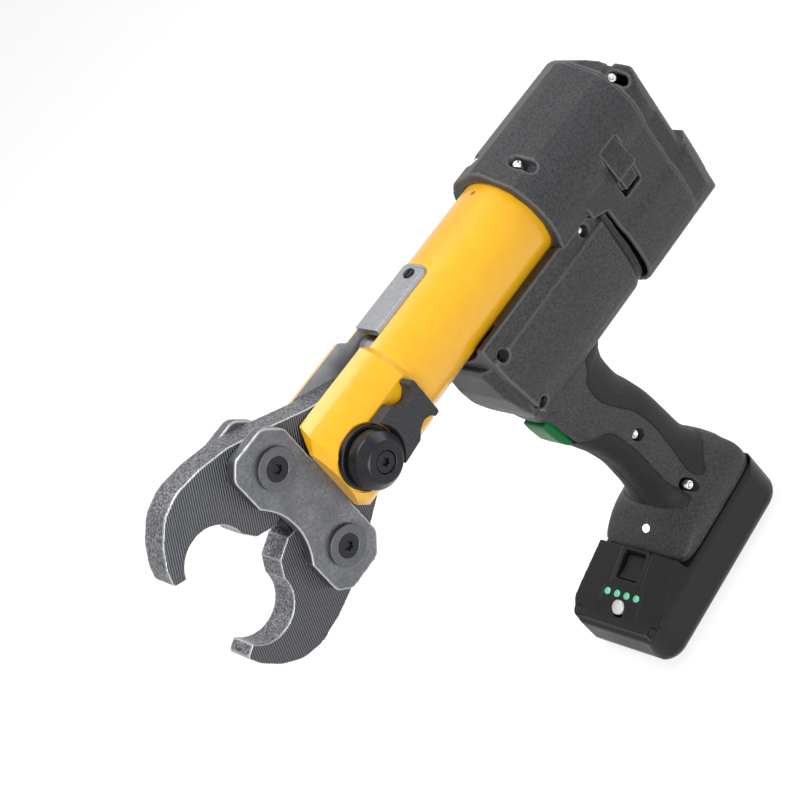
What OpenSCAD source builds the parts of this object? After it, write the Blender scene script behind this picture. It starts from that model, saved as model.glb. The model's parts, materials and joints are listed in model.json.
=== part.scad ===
// Battery press tool with a turning press head and a pair of press tongs.
// Millimetres. The origin is the centre of the battery's flat bottom, +Z up, +X towards the jaws.
// The head and the housing are drawn about the tong pin: x runs forward along the cylinder's axis
// from the pin, y to the left and z up, and in_head() leans that frame back onto the battery.

/* [Press head] */
// Outer diameter of the hydraulic cylinder
cylinder_d = 57; // [56.4:0.2:58]
// Outer diameter of the forked end that holds the tongs
fork_d = 65.6; // [64.8:0.2:68]
// Bore that the piston and the roller carrier run in
bore_d = 42; // [40:0.5:43]
// From the tong pin forward to the fork's tip
fork_reach = 17.7; // [16.5:0.1:17.8]
// From the tong pin back to the shoulder behind the fork
shoulder_back = 44.2; // [42:0.2:46]
// From the tong pin back to the hood's front face
cylinder_out = 163.5; // [160:0.5:166]
// Width of the slot that the jaw arms swing through
slot_w = 19.6; // [18.8:0.1:20.4]
// Length of the strip that closes the rear of the slot
strip_len = 46.4; // [42:0.2:48]
// From the tong pin back to the strip's front end
strip_back = 57.6; // [56:0.2:59]
// How far the strip's top stands from the cylinder's axis
strip_top = 29.4; // [28.8:0.1:30]
// Thickness of the strip
strip_t = 4.6; // [3:0.1:5]

/* [Tongs] */
// Thickness of the tongs over both side plates
tong_w = 33; // [31:0.2:33.4]
// Thickness of the jaw arms
arm_w = 18; // [16:0.2:18.4]
// Diameter of the tong pin
pin_d = 14; // [12:0.5:15]
// From the tong pin forward to the jaw bolts
bolt_reach = 35.9; // [35:0.1:37]
// Between the two jaw bolts
bolt_spread = 63.4; // [61:0.2:65]
// Diameter of the jaw bolts
jaw_bolt_d = 16; // [12:0.5:18]
// Diameter of the collars on the jaw bolts
collar_d = 23; // [21:0.5:25]
// How far the collars stand out of the side plates
collar_t = 2.6; // [2.4:0.1:4]
// Diameter of the mouth when the jaws are shut
mouth_d = 37.2; // [34:0.2:38.4]
// From the tong pin forward to the mouth's centre
mouth_reach = 79.5; // [78.5:0.1:80]
// Angle that each jaw swings from open to shut
jaw_swing = 23.5; // [22:0.25:24.5]
// Half the height of a side plate
plate_half_h = 52.5; // [50:0.5:55]
// Half the height of the stem that goes into the fork
stem_half_h = 16.5; // [14:0.5:17.5]

/* [Knob and lock] */
// Diameter of the flange under the knob
flange_d = 34.8; // [32:0.2:36]
// Thickness of the flange
flange_t = 4; // [3:0.25:5]
// Diameter of the knob
knob_d = 31; // [27:0.5:31.5]
// Height of the knob over the flange
knob_h = 14; // [11:0.5:16]
// Width of the lock lever
lever_w = 25.6; // [22:0.2:26.4]
// Length of the lock lever behind the flange
lever_len = 31; // [30:0.5:32]

/* [Drive] */
// Diameter of the two press rollers
roller_d = 21; // [18:0.5:21.4]
// Width of the press rollers
roller_w = 16.4; // [13:0.2:17]
// Travel of the piston
stroke = 34; // [28:0.5:34]
// Length of the piston
piston_len = 18; // [14:0.5:19]
// Diameter of the return spring
return_spring_d = 33; // [28:0.5:37]
// Diameter of the motor
motor_d = 41; // [36:0.5:42]
// Length of the motor
motor_len = 58; // [50:0.5:60]
// Teeth of the drive pinion
pinion_teeth = 14; // [12:1:16]
// Teeth of the gear wheel
wheel_teeth = 44; // [40:1:46]
// Module of the spur gears
gear_module = 1; // [0.9:0.05:1.05]

/* [Housing] */
// Angle between the cylinder's axis and the battery's bottom
nose_tilt = 4; // [2:0.5:6]
// Height of the tong pin over the battery's bottom
pin_height = 273.2; // [268:0.2:278]
// Outer diameter of the hood that the head turns in
hood_d = 72; // [71:0.5:75]
// Length of the hood
hood_len = 87; // [86:0.5:88.5]
// Length of the rear cover
rear_len = 29.5; // [28:0.5:33]
// Wall of the mouldings
wall = 3; // [2.4:0.1:3.4]
// Width of the motor housing
barrel_w = 66; // [65:0.5:68]
// Depth of the motor axis under the cylinder's axis
motor_drop = 52; // [51:0.25:53]
// Width of the grip
grip_w = 42; // [39:0.5:44]
// Fore and aft size of the grip
grip_len = 46; // [44:0.5:48]

/* [Controls] */
// Width of the trigger
trigger_w = 24; // [18:0.5:26]
// Length of the reset lever along the tool
reset_len = 15; // [12:0.5:17]
// How far the reset lever is pushed down
reset_travel = 5; // [3:0.5:7]

/* [Battery] */
// Width of the battery
battery_w = 74; // [72:0.5:78]
// Length of the battery
battery_len = 134; // [132:0.5:138]
// Height of the battery's deck under the foot
deck_h = 37.6; // [36.4:0.2:39]
// Height of the battery's nose at the foot's front
nose_h = 46.5; // [44:0.25:48]
// Where the nose begins, in front of the battery's centre
nose_at = 17.4; // [15:0.2:20]
// Diameter of a battery cell
cell_d = 18.4; // [18:0.1:18.8]
// Length of a battery cell
cell_len = 65; // [60:0.5:65.5]
// Width of the battery's release button
release_w = 17; // [14:0.5:20]
// Diameter of the charge check button
check_d = 9; // [7:0.5:10]

/* [Hidden] */
$fn = 64;

// Running clearance between a shaft and its hole
run_fit = 0.05;
// Space between pieces that move past each other
gap = 0.3;
// Space between mouldings that are screwed together
seam = 0.2;

cyl_r = cylinder_d / 2;
fork_r = fork_d / 2;
bore_r = bore_d / 2;
pin_r = pin_d / 2;
slot_h = slot_w / 2;
arm_h = arm_w / 2;
tong_h = tong_w / 2;
pocket_h = tong_h + gap;
stem_back = pin_r + 7;
pocket_back = stem_back + 1.6;
bolt_z = bolt_spread / 2;
roller_r = roller_d / 2;
roller_z = roller_r + 0.8;
roller_x0 = -pocket_back - 6.4 - stroke;
hood_r = hood_d / 2;
hood_front = -cylinder_out;
hood_back = hood_front - hood_len;
rear_back = hood_back - rear_len;
barrel_h = barrel_w / 2;
motor_z = -motor_drop;
spot_y = 27.7;
knob_y = spot_y + flange_t;
yellow = "#fbbf1c";
steel = "#8b8d90";
dark_steel = "#4c4d50";
black = "#1f2022";
charcoal = "#3c3d3f";
soft_black = "#2a2a2c";

// from the battery's centre forward to the tong pin
pin_ahead = 103.7;
module in_head() {
    translate([pin_ahead, 0, pin_height]) rotate([0, -nose_tilt, 0]) children();
}
// round bar along x, y or z between two places
module bar_x(x0, x1, r) translate([x0, 0, 0]) rotate([0, 90, 0]) cylinder(h = x1 - x0, r = r);
module bar_y(y0, y1, r) translate([0, y0, 0]) rotate([-90, 0, 0]) cylinder(h = y1 - y0, r = r);
// outline in x and z, carried along y
module across(y0, y1) translate([0, y1, 0]) rotate([90, 0, 0]) linear_extrude(y1 - y0) children();
// outline in y and z, carried along x
module along(x0, x1) translate([x0, 0, 0]) rotate([90, 0, 90]) linear_extrude(x1 - x0) children();
module box(a, b) translate(a) cube(b - a);

function unit(v) = v / norm(v);
function flat(p) = [p[0], p[1]];
// arc of radius r that rounds the corner p between a and b
function corner(a, p, b, r, n = 5) =
    let (u = unit(flat(a) - flat(p)), v = unit(flat(b) - flat(p)), half = acos(u * v) / 2,
         c = flat(p) + unit(u + v) * r / sin(half), s = flat(p) + u * r / tan(half) - c,
         e = flat(p) + v * r / tan(half) - c, a0 = atan2(s[1], s[0]), d = atan2(e[1], e[0]) - a0,
         sweep = d > 180 ? d - 360 : d < -180 ? d + 360 : d)
    [for (i = [0 : n]) c + r * [cos(a0 + sweep * i / n), sin(a0 + sweep * i / n)]];
// outline whose corners are [x, y, radius]
function rounded(p) = [for (i = [0 : len(p) - 1]) let (m = len(p))
    each p[i][2] == 0 ? [flat(p[i])] : corner(p[(i + m - 1) % m], p[i], p[(i + 1) % m], p[i][2])];
function mirrored(p) = concat(p, [for (i = [len(p) - 1 : -1 : 0]) [p[i][0], -p[i][1], p[i][2]]]);
function arc(c, r, a0, a1, n = 12) =
    [for (i = [0 : n]) c + r * [cos(a0 + (a1 - a0) * i / n), sin(a0 + (a1 - a0) * i / n)]];
// turn a point about a centre in the x and z plane, positive lifts what lies in front
function turned(p, c, a) = let (d = p - c) c + [d[0] * cos(a) - d[1] * sin(a),
    d[0] * sin(a) + d[1] * cos(a)];

shoulder = fork_r - cyl_r;
cyl_back = hood_front - 12.5;
// rear flange of the cylinder, which the swivel bush holds in the hood
heel_r = cyl_r + 2.5;
heel_len = 5.5;
rod_r = 10;
guide_x = -94;
guide_len = 8;
strip_back_end = -strip_back - strip_len;
strip_base = strip_top - strip_t;
strip_screw_x = strip_back_end + 7;
rear_slot_h = roller_w / 2 + 0.5;
flange_r = flange_d / 2;
lever_base = spot_y + 2.2;
lever_top = lever_base + 8.6;
lever_up = lever_w / 2;
lever_down = lever_up + 2.8;
lever_gap = 0.9;

module press_cylinder() color(yellow) in_head() difference() {
    union() {
        bar_x(cyl_back, -shoulder_back - shoulder + 0.01, cyl_r);
        bar_x(cyl_back, cyl_back + heel_len, heel_r);
        translate([-shoulder_back - shoulder, 0, 0]) rotate([0, 90, 0])
            cylinder(h = shoulder, r1 = cyl_r, r2 = fork_r);
        intersection() {
            union() {
                bar_x(-shoulder_back, fork_reach - 5.5, fork_r);
                translate([fork_reach - 5.5, 0, 0]) rotate([0, 90, 0])
                    cylinder(h = 5.5, r1 = fork_r, r2 = fork_r - 4.6);
            }
            across(-fork_r - 1, fork_r + 1) polygon(rounded(mirrored([[fork_reach, 20, 0],
                [fork_reach - 10.4, fork_r + 1, 0], [-shoulder_back - 5, fork_r + 1, 0]])));
        }
    }
    bar_x(cyl_back - 1, -pocket_back, bore_r);
    // slot for the arms, and the narrower one behind it that only the rollers need
    box([-strip_back - 1, -slot_h, -fork_r - 1], [fork_reach + 1, slot_h, fork_r + 1]);
    box([roller_x0 - roller_r - 18, -rear_slot_h, -fork_r], [-strip_back, rear_slot_h, fork_r]);
    for (s = [0, 180]) rotate([s, 0, 0]) {
        translate([0, 0, strip_base]) linear_extrude(20) strip_outline(0.1);
        translate([strip_screw_x, 0, strip_base - 3]) cylinder(h = 4, r = 2);
    }
    // pocket for the stems of the side plates, with its lead-in
    box([-pocket_back, -pocket_h, -stem_half_h - 0.8], [fork_reach + 1, pocket_h, stem_half_h + 0.8]);
    translate([0, 0, -fork_r - 1]) linear_extrude(2 * fork_r + 2) polygon(rounded(mirrored(
        [[fork_reach - 8.4, slot_h - 0.01, 0], [fork_reach + 0.6, pocket_h + 0.5, 0]])));
    bar_y(-fork_r - 1, fork_r + 1, pin_r + run_fit);
    bar_y(spot_y, fork_r + 1, flange_r + 1);
    box([-shoulder_back - 8, lever_base - gap, -lever_down - lever_gap],
        [-flange_r + 6, fork_r + 1, lever_up + lever_gap]);
    // bleed hole under the hood's edge
    translate([hood_front + 6.5, 0, cyl_r - 3]) cylinder(h = 4, r = 1.5);
}
// outline of the strip, or of the recess that leaves some space round it
module strip_outline(space) let (y = slot_h - 0.2 + space, x = strip_back_end + 0.2 - space)
    polygon(rounded([[x, -y, 5], [-strip_back + 0.2, -y, 0], [-strip_back + 0.2, y, 0], [x, y, 5]]));
module slot_strip() difference() {
    intersection() {
        translate([0, 0, strip_base]) linear_extrude(strip_t) strip_outline(0);
        along(strip_back_end - 1, -strip_back + 1)
            polygon([[-slot_h, 0], [slot_h, 0], [slot_h, strip_top - 0.9],
            [slot_h - 1.1, strip_top], [-slot_h + 1.1, strip_top], [-slot_h, strip_top - 0.9]]);
    }
    translate([strip_screw_x, 0, strip_base - 1]) cylinder(h = strip_t + 2, r = 2.05);
    translate([strip_screw_x, 0, strip_top - 1.2]) cylinder(h = 3, r = 3.4);
}
module slot_strip_top() color(steel) in_head() slot_strip();
module slot_strip_bottom() color(steel) in_head() rotate([180, 0, 0]) slot_strip();
module strip_screws() color(dark_steel) in_head() for (s = [0, 180]) rotate([s, 0, 0]) difference() {
    union() {
        translate([strip_screw_x, 0, strip_base - 2.5]) cylinder(h = strip_t, r = 2);
        translate([strip_screw_x, 0, strip_top - 1.2]) cylinder(h = 1.9, r = 3.2);
    }
    box([strip_screw_x - 4, -0.5, strip_top], [strip_screw_x + 4, 0.5, strip_top + 2]);
}
module rod_guide() color(steel) in_head() difference() {
    bar_x(guide_x, guide_x + guide_len, bore_r - run_fit);
    bar_x(guide_x - 1, guide_x + guide_len + 1, rod_r + run_fit);
}

plate_front = bolt_reach + 20.5;
plate_rear = fork_reach + 0.3;
plate_bite = mouth_reach + 6.9;
// web of the plate in front of the bolts, which the bite leaves standing
plate_web = 12.7;
plate_bite_r = plate_bite - bolt_reach - plate_web;
plate_bite_z = sqrt(pow(plate_bite_r, 2) - pow(plate_bite - plate_front, 2));
plate_outline = concat(
    mirrored([[plate_front, plate_bite_z, 0], [plate_front, plate_half_h - 7.5, 6],
        [plate_front - 7.5, plate_half_h, 6],
        [plate_rear + 9, plate_half_h, 7], [plate_rear, plate_half_h - 10.5, 6],
            [plate_rear, stem_half_h, 1],
        [-stem_back, stem_half_h, 8]]),
    [for (p = arc([plate_bite, 0], plate_bite_r, 180 + asin(plate_bite_z / plate_bite_r) - 3,
        180 - asin(plate_bite_z / plate_bite_r) + 3, 16)) [p[0], p[1], 0]]);
plate_in = arm_h + 0.25;
jaw_bolt_r = jaw_bolt_d / 2;
collar_r = collar_d / 2;
screw_head_r = 6.4;
screw_stem_r = 3;

module tong_plate(y0, y1) difference() {
    across(y0, y1) polygon(rounded(plate_outline));
    bar_y(y0 - 1, y1 + 1, pin_r + run_fit);
    for (z = [-bolt_z, bolt_z]) translate([bolt_reach, 0, z]) bar_y(y0 - 1, y1 + 1, jaw_bolt_r + run_fit);
}
module tong_plate_left() color(steel) in_head() tong_plate(plate_in, tong_h);
module tong_plate_right() color(steel) in_head() tong_plate(-tong_h, -plate_in);
module jaw_bolts() color(dark_steel) in_head() for (z = [-bolt_z, bolt_z]) translate([bolt_reach, 0, z])
    difference() {
    union() {
        bar_y(-tong_h, tong_h, jaw_bolt_r);
        bar_y(tong_h, tong_h + collar_t, collar_r);
    }
    bar_y(tong_h + collar_t - 2.2, tong_h + collar_t + 1, screw_head_r + 0.1);
    for (s = [0, 180]) rotate([s, 0, 0]) bar_y(tong_h - 10, tong_h + 1, screw_stem_r + run_fit);
}
module jaw_bolt_caps() color(dark_steel) in_head() for (z = [-bolt_z, bolt_z])
    translate([bolt_reach, 0, z]) difference() {
    bar_y(-tong_h - collar_t, -tong_h, collar_r);
    bar_y(-tong_h - collar_t - 1, -tong_h + 1, screw_head_r + 0.1);
}
module torx_screw(tip, head, stem_r, stem_len, head_t) difference() {
    union() {
        bar_y(tip - head_t, tip, head);
        bar_y(tip - head_t - stem_len, tip - head_t + 0.1, stem_r);
    }
    for (a = [0, 60, 120]) rotate([0, a, 0]) box([-head * 0.42, tip - head_t * 0.7, -head * 0.13],
        [head * 0.42, tip + 1, head * 0.13]);
}
module jaw_bolt_screws() color(black) in_head() for (z = [-bolt_z, bolt_z]) translate([bolt_reach, 0, z])
    for (s = [0, 180])
    rotate([s, 0, 0]) torx_screw(tong_h + collar_t - 0.1, screw_head_r, screw_stem_r, 6, 2.05);
// hairpin that opens the jaws, guided between the two plates
hairpin_end = bolt_reach + 2;
hairpin_x = pin_r + 2.2;
hairpin_h = 2.15;
hairpin_t = 1;
module tong_spring() color(dark_steel) in_head() across(-plate_in + gap, plate_in - gap) difference() {
    polygon(rounded(mirrored([[hairpin_end, hairpin_h, 0], [hairpin_x, hairpin_h, hairpin_h - 0.1]])));
    polygon(rounded(mirrored([[hairpin_end + 1, hairpin_h - hairpin_t, 0],
        [hairpin_x + hairpin_t, hairpin_h - hairpin_t, hairpin_h - hairpin_t - 0.1]])));
}

mouth_r = mouth_d / 2;
bolt_c = [bolt_reach, bolt_z];
jaw_seam = 0.2;
arm_top = bolt_z + 16;
pin_open = turned([0, 0], bolt_c, -jaw_swing);
// centre of the roller, seen from the shut jaw, when the piston has gone the share t of its travel
function roller_at(t) = turned([roller_x0 + stroke * t, roller_z], bolt_c, -jaw_swing * (1 - t));
function cam_at(t) = let (d = unit(roller_at(t + 0.01) - roller_at(t - 0.01)))
    roller_at(t) + (roller_r + gap) * [-d[1], d[0]];
// upper jaw as it stands when shut, its corners rounded
jaw_outer = rounded([
    [98.3, jaw_seam, 0], [mouth_reach + 26.4, jaw_seam, 1.5], [mouth_reach + 27.2, 9, 6],
    [mouth_reach + 25, 21.5, 10], [mouth_reach + 19, 34.5, 14], [mouth_reach + 8.5, 43.3, 18],
    [mouth_reach - 8, 48.3, 20], [54, 51, 30], [bolt_reach - 8, 49.8, 20], [3.5, arm_top, 20],
    [-20, arm_top, 10], [cam_at(0.17)[0] + 0.3, cam_at(0.17)[1] - 0.4, 0.6],
        [cam_at(0.25)[0], cam_at(0.25)[1], 0]]);
jaw_shut = concat(
    [for (i = [1 : len(jaw_outer) - 2]) jaw_outer[i]],
    [for (i = [0 : 10]) cam_at(0.2 + 0.08 * i)],
    arc(pin_open, pin_r + 0.6, 146, 20, 8),
    [[7, 13.6], [25, 6.2], [37, 3], [41.5, jaw_seam], [mouth_reach - mouth_r - 7, jaw_seam]],
    arc([mouth_reach, 0], mouth_r, 160, asin(jaw_seam / mouth_r), 22));
jaw_open = [for (p = jaw_shut) turned(p, bolt_c, jaw_swing)];

module jaw() difference() {
    across(-arm_h, arm_h) polygon(jaw_open);
    translate([bolt_reach, 0, bolt_z]) bar_y(-arm_h - 1, arm_h + 1, jaw_bolt_r + run_fit);
}
module jaw_upper() color(dark_steel) in_head() jaw();
module jaw_lower() color(dark_steel) in_head() mirror([0, 0, 1]) jaw();

pin_end = -fork_r + 3;
knob_r = knob_d / 2;
knob_top = knob_y + knob_h;
module holding_pin() color(black) in_head() difference() {
    union() {
        bar_y(pin_end + 1.5, spot_y, pin_r);
        translate([0, pin_end, 0]) rotate([-90, 0, 0]) cylinder(h = 1.5, r1 = pin_r - 1.5, r2 = pin_r);
        bar_y(spot_y, knob_y, flange_r);
    }
    bar_y(knob_y - 14, knob_y + 1, screw_stem_r + run_fit);
}
module pin_knob() color(black) in_head() difference() {
    translate([0, knob_y, 0]) rotate([-90, 0, 0]) rotate_extrude() polygon([[0, 0], [knob_r - 1.6, 0],
        [knob_r - 1.6, 1.2], [knob_r, 1.8], [knob_r, knob_h * 0.55], [knob_r - 0.8, knob_h * 0.72],
        [knob_r - 4.2, knob_h - 0.4], [knob_r - 5, knob_h], [0, knob_h]]);
    bar_y(knob_top - 3.4, knob_top + 1, 5.9);
    bar_y(knob_y - 1, knob_top, screw_stem_r + run_fit);
}
module knob_screw() color(dark_steel) in_head()
    torx_screw(knob_top - 0.8, 5.6, screw_stem_r, knob_h + 6, 2.6);

lever_back = -flange_r - lever_len + 5;
lever_bite_r = flange_r + 0.9;
lever_outline = rounded(concat(
    [[-lever_bite_r * cos(asin(lever_up / lever_bite_r)), lever_up, 0], [lever_back + 18.5, lever_up, 1.5],
        [lever_back + 15.5, lever_up - 5, 4], [lever_back + 9, lever_up - 7.4, 4],
        [lever_back + 4.4, lever_up - 3.4, 2.5], [lever_back + 4, lever_up, 1],
        [lever_back, lever_up, 1.5], [lever_back, -lever_up, 1.5], [lever_back + 3.5, -lever_up, 1],
        [lever_back + 5.5, -lever_up + 3, 1], [lever_back + 10, -lever_up + 4.6, 5],
        [lever_back + 14.5, -lever_up + 2.6, 4], [lever_back + 18.5, -lever_down + 1.4, 2]],
    [for (p = arc([0, 0], lever_bite_r, 180 + asin(lever_down / lever_bite_r),
        180 - asin(lever_up / lever_bite_r) + 4, 14)) [p[0], p[1], 0]]));
module lock_lever() color(black) in_head() across(lever_base, lever_top) polygon(lever_outline);

piston_x0 = -158;
piston_x1 = piston_x0 + piston_len;
carrier_back = -80;
carrier_front = roller_x0 + 5.5;
carrier_cheek = roller_w / 2 + 0.4;
axle_r = 4;
module piston() color(steel) in_head() difference() {
    union() {
        bar_x(piston_x0, piston_x1, bore_r - run_fit);
        bar_x(piston_x1 - 1, carrier_back, rod_r);
    }
    ring_x(piston_x0 + piston_len / 2 - 2, 4, bore_r - 2.5, bore_r + 1);
}
// ring along x, w wide
module ring_x(x, w, inner, outer) difference() {
    bar_x(x, x + w, outer);
    bar_x(x - 1, x + w + 1, inner);
}
module piston_seal() color(black) in_head()
    ring_x(piston_x0 + piston_len / 2 - 1.9, 3.8, bore_r - 2.5, bore_r - run_fit);
// round wire wound about x, its ends at x0 and x1
module coil(x0, x1, r, wire, turns) {
    sides = 6;
    per_turn = 10;
    rings = turns * per_turn;
    points = [for (k = [0 : rings]) let (a = 360 * k / per_turn) for (i = [0 : sides - 1])
        let (q = r + wire / 2 * cos(360 * i / sides))
        [x0 + (x1 - x0) * k / rings + wire / 2 * sin(360 * i / sides), q * cos(a), q * sin(a)]];
    skin = [for (k = [0 : rings - 1]) for (i = [0 : sides - 1]) let (a = k * sides + i,
        b = k * sides + (i + 1) % sides)
        each [[a, b, b + sides], [a, b + sides, a + sides]]];
    polyhedron(points, concat(skin, [[for (i = [sides - 1 : -1 : 0]) i]],
        [[for (i = [0 : sides - 1]) rings * sides + i]]));
}
spring_wire = 2.8;
spring_turns = 6;
module return_spring() color(steel) in_head()
    coil(piston_x1 + spring_wire / 2 + gap, guide_x - spring_wire / 2 - gap,
        (return_spring_d - spring_wire) / 2,
        spring_wire, spring_turns);
module roller_carrier() color(dark_steel) in_head() difference() {
    bar_x(carrier_back, carrier_front, bore_r - 0.2);
    box([roller_x0 - roller_r - 0.8, -carrier_cheek, -bore_r], [carrier_front + 1, carrier_cheek, bore_r]);
    for (s = [-1, 1]) box([roller_x0 - roller_r - 0.8, s < 0 ? -bore_r : 13.2, -bore_r],
        [carrier_front + 1, s < 0 ? -13.2 : bore_r, bore_r]);
    for (z = [-roller_z, roller_z]) translate([roller_x0, 0, z]) bar_y(-bore_r, bore_r, axle_r + run_fit);
}
module roller_axles() color(steel) in_head() for (z = [-roller_z, roller_z]) translate([roller_x0, 0, z])
    bar_y(-13.1, 13.1, axle_r);
module press_roller(z) translate([roller_x0, 0, z]) difference() {
    bar_y(-roller_w / 2, roller_w / 2, roller_r);
    bar_y(-roller_w, roller_w, axle_r + run_fit);
}
module roller_upper() color(steel) in_head() press_roller(roller_z);
module roller_lower() color(steel) in_head() press_roller(-roller_z);

function paired(p) = concat(p, [for (i = [len(p) - 1 : -1 : 0]) [-p[i][0], p[i][1], p[i][2]]]);
hood_lip = 2.5;
cavity_r = hood_r - 4.4;
block_y = hood_r - 0.7;
block_z = motor_z - 35.5;
block_front = hood_front - 37.2;
arch_foot = -19.6;
pump_x0 = cyl_back - 2 - 60;
pump_r = 26;
shaft_r = 4;
gear_dist = gear_module * (pinion_teeth + wheel_teeth) / 2 + 0.15;
wheel_z = motor_z + gear_dist;
plate_x0 = pump_x0 - 6;
gear_x0 = plate_x0 - 17;
gear_len = 7;
cover_screws = [[19, 20.5], [-19, 20.5], [23, -72], [-23, -72]];
// the upper cover screws lie in troughs that open upward and outward
trough_lean = 35;
trough_len = 12;
hood_screw_x = cyl_back - 5.5;
hood_screw_y = 19;
hood_seat = 27;
screw_r = 1.9;
screw_head = 3.2;
pocket_r = screw_head + 0.5;
trough_h = pocket_r - 0.3;

// outline of the hood over the cylinder, flats meeting in soft creases
module hood_arch(r, foot) polygon(rounded(paired(concat(
    [for (a = [84.4, 48.9]) [r * cos(a), r * sin(a), 2]],
    [for (a = [42 : -7 : -14]) [r * cos(a), r * sin(a), 0]],
    [[r - 4.6, foot, 0]]))));
module block_section(d) polygon(rounded(paired([[block_y - 1.5 - d, 6, 0], [block_y - 1.5 - d, -41, 2],
    [block_y - d, -47, 3], [block_y - d, block_z + d, 17 - d]])));
// the block's front edge, which the motor housing meets
block_edge = [[block_front + 12, arch_foot], [block_front + 12, -22.1], [block_front + 1.2, -27],
    [block_front - 0.6, -84],
    [block_front - 0.8, block_z - 2]];
module block_side(d) across(-hood_r, hood_r) polygon(concat([for (p = block_edge) [p[0] - d, p[1]]],
    [[hood_back - 1, block_z - 2], [hood_back - 1, 8], [block_front + 12, 8]]));
module hood() color(charcoal) in_head() difference() {
    union() {
        along(hood_back, hood_front) hood_arch(hood_r, arch_foot);
        intersection() {
            along(hood_back, block_front + 14) block_section(0);
            block_side(0);
        }
    }
    bar_x(hood_back - 1, hood_front - hood_lip, cavity_r);
    bar_x(hood_front - hood_lip - 1, hood_front + 1, cyl_r + 0.4);
    along(hood_back - 1, block_front + 15) block_section(wall);
    for (s = [-1, 1]) translate([hood_screw_x, s * hood_screw_y, 0]) {
        translate([0, 0, hood_seat]) cylinder(h = 12, r = pocket_r);
        translate([0, 0, 20]) cylinder(h = 12, r = screw_r + 0.2);
        translate([0, s * 5.5, hood_seat - 3]) cylinder(h = 12, r = pocket_r);
        box([-pocket_r, s < 0 ? -5.5 : 0, hood_seat - 1.5], [pocket_r, s < 0 ? 0 : 5.5, hood_r]);
    }
    reset_recess();
}
reset_x = hood_front - 58;
reset_top = -1.5;
reset_h = 19;
module reset_recess() {
    box([reset_x - reset_len / 2 - gap, block_y - 1.5 - wall - 1, reset_top - reset_h - reset_travel - 6],
        [reset_x + reset_len / 2 + gap, block_y + 5, reset_top + 3]);
}
module reset_lever() color(black) in_head() union() {
    across(block_y - 4.6, block_y + 3.4) polygon(rounded([
        [reset_x - reset_len / 2, reset_top - reset_h, 1.5],
            [reset_x + reset_len / 2, reset_top - reset_h, 1.5],
        [reset_x + reset_len / 2, reset_top, 1.5], [reset_x - reset_len / 2, reset_top, 1.5]]));
    box([reset_x - reset_len / 2 + 2, block_y - 4.6, reset_top - reset_h - 5],
        [reset_x + reset_len / 2 - 2, block_y - 0.5, reset_top - reset_h + 1]);
    box([reset_x - 3, pump_r - 6, reset_top - reset_h + 2], [reset_x + 3, block_y - 4.5, reset_top - 10]);
}

// rear cover, an upper and a fuller lower form, drawn in by d for its inside
module rear_upper(d) intersection() {
    along(rear_back - 1, hood_back + d - 0.2) union() {
        hood_arch(hood_r - d, arch_foot);
        block_section(d);
    }
    across(-hood_r, hood_r) polygon([[hood_back + d, hood_r - 0.3 - d],
        [hood_back - 6 + d * 0.4, hood_r - 4.5 - d],
        [rear_back + 9 + d, 11 - d / 2], [rear_back + 8 + d, 0], [rear_back + 8 + d, -12],
        [rear_back + 5.5 + d, -44], [hood_back + d, -44]]);
    translate([0, 0, -50]) linear_extrude(100) polygon(rounded(mirrored([[hood_back + 4, block_y + 2, 0],
        [rear_back + 8 + d, block_y - d, 20 - d]])));
}
module rear_lower(d) intersection() {
    along(rear_back - 1, hood_back + d - 0.2) block_section(d);
    across(-hood_r, hood_r) polygon([[hood_back + d, -40 - d], [rear_back + 4.5 + d, -40 - d],
        [rear_back + 1.5 + d, -46], [rear_back + d, -61], [rear_back + d, -74],
        [rear_back + 1.5 + d, block_z + 3 + d / 2], [rear_back + 8 + d, block_z + d],
            [hood_back + d, block_z + d]]);
    translate([0, 0, block_z]) linear_extrude(60) polygon(rounded(mirrored([[hood_back + 4, block_y + 2, 0],
        [rear_back + d, block_y - d, 24 - d]])));
}
module rear_cover() color(soft_black) in_head() difference() {
    union() {
        difference() {
            union() {
                rear_upper(0);
                rear_lower(0);
            }
            rear_upper(wall);
            rear_lower(wall);
        }
        intersection() {
            union() {
                for (p = cover_screws) translate([0, p[0], p[1]])
                    bar_x(rear_back - 1, hood_back - 0.2, screw_head + 2.6);
                translate([0, 0, motor_z]) bar_x(rear_back, gear_x0 - 2, shaft_r + 4);
                translate([0, 0, wheel_z]) bar_x(rear_back, gear_x0 - 2, shaft_r + 4);
            }
            union() {
                rear_upper(0);
                rear_lower(0);
            }
        }
    }
    for (p = cover_screws) translate([0, p[0], p[1]]) {
        bar_x(rear_back - 1, hood_back - 8, pocket_r);
        if (p[1] > 0) rotate([p[0] < 0 ? trough_lean : -trough_lean, 0, 0])
            box([hood_back - 8 - trough_len, -trough_h, 0], [hood_back - 8, trough_h, hood_r]);
        bar_x(hood_back - 9, hood_back + 1, screw_r + 0.2);
    }
    translate([0, 0, motor_z]) bar_x(gear_x0 - 9, gear_x0, shaft_r + run_fit);
    translate([0, 0, wheel_z]) bar_x(gear_x0 - 4, gear_x0, shaft_r + run_fit);
}
module screw_z(z_seat, len) {
    translate([0, 0, z_seat - len]) cylinder(h = len + 1, r = screw_r);
    translate([0, 0, z_seat]) cylinder(h = 2.2, r = screw_head);
}
module screw_x(x_seat, len) {
    bar_x(x_seat - 1, x_seat + len, screw_r);
    bar_x(x_seat - 2.2, x_seat, screw_head);
}
module hood_screws() color(steel) in_head() {
    for (s = [-1, 1]) translate([hood_screw_x, s * hood_screw_y, 0]) screw_z(hood_seat, 13);
    for (p = cover_screws) translate([0, p[0], p[1]]) screw_x(hood_back - 8, plate_x0 + 5 - hood_back + 8);
}
module swivel_bush() color("#d8d4c4") in_head() difference() {
    bar_x(cyl_back + heel_len + 0.2, hood_front - hood_lip - 0.1, cavity_r - 0.05);
    bar_x(cyl_back, hood_front, cyl_r + run_fit);
}

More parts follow.
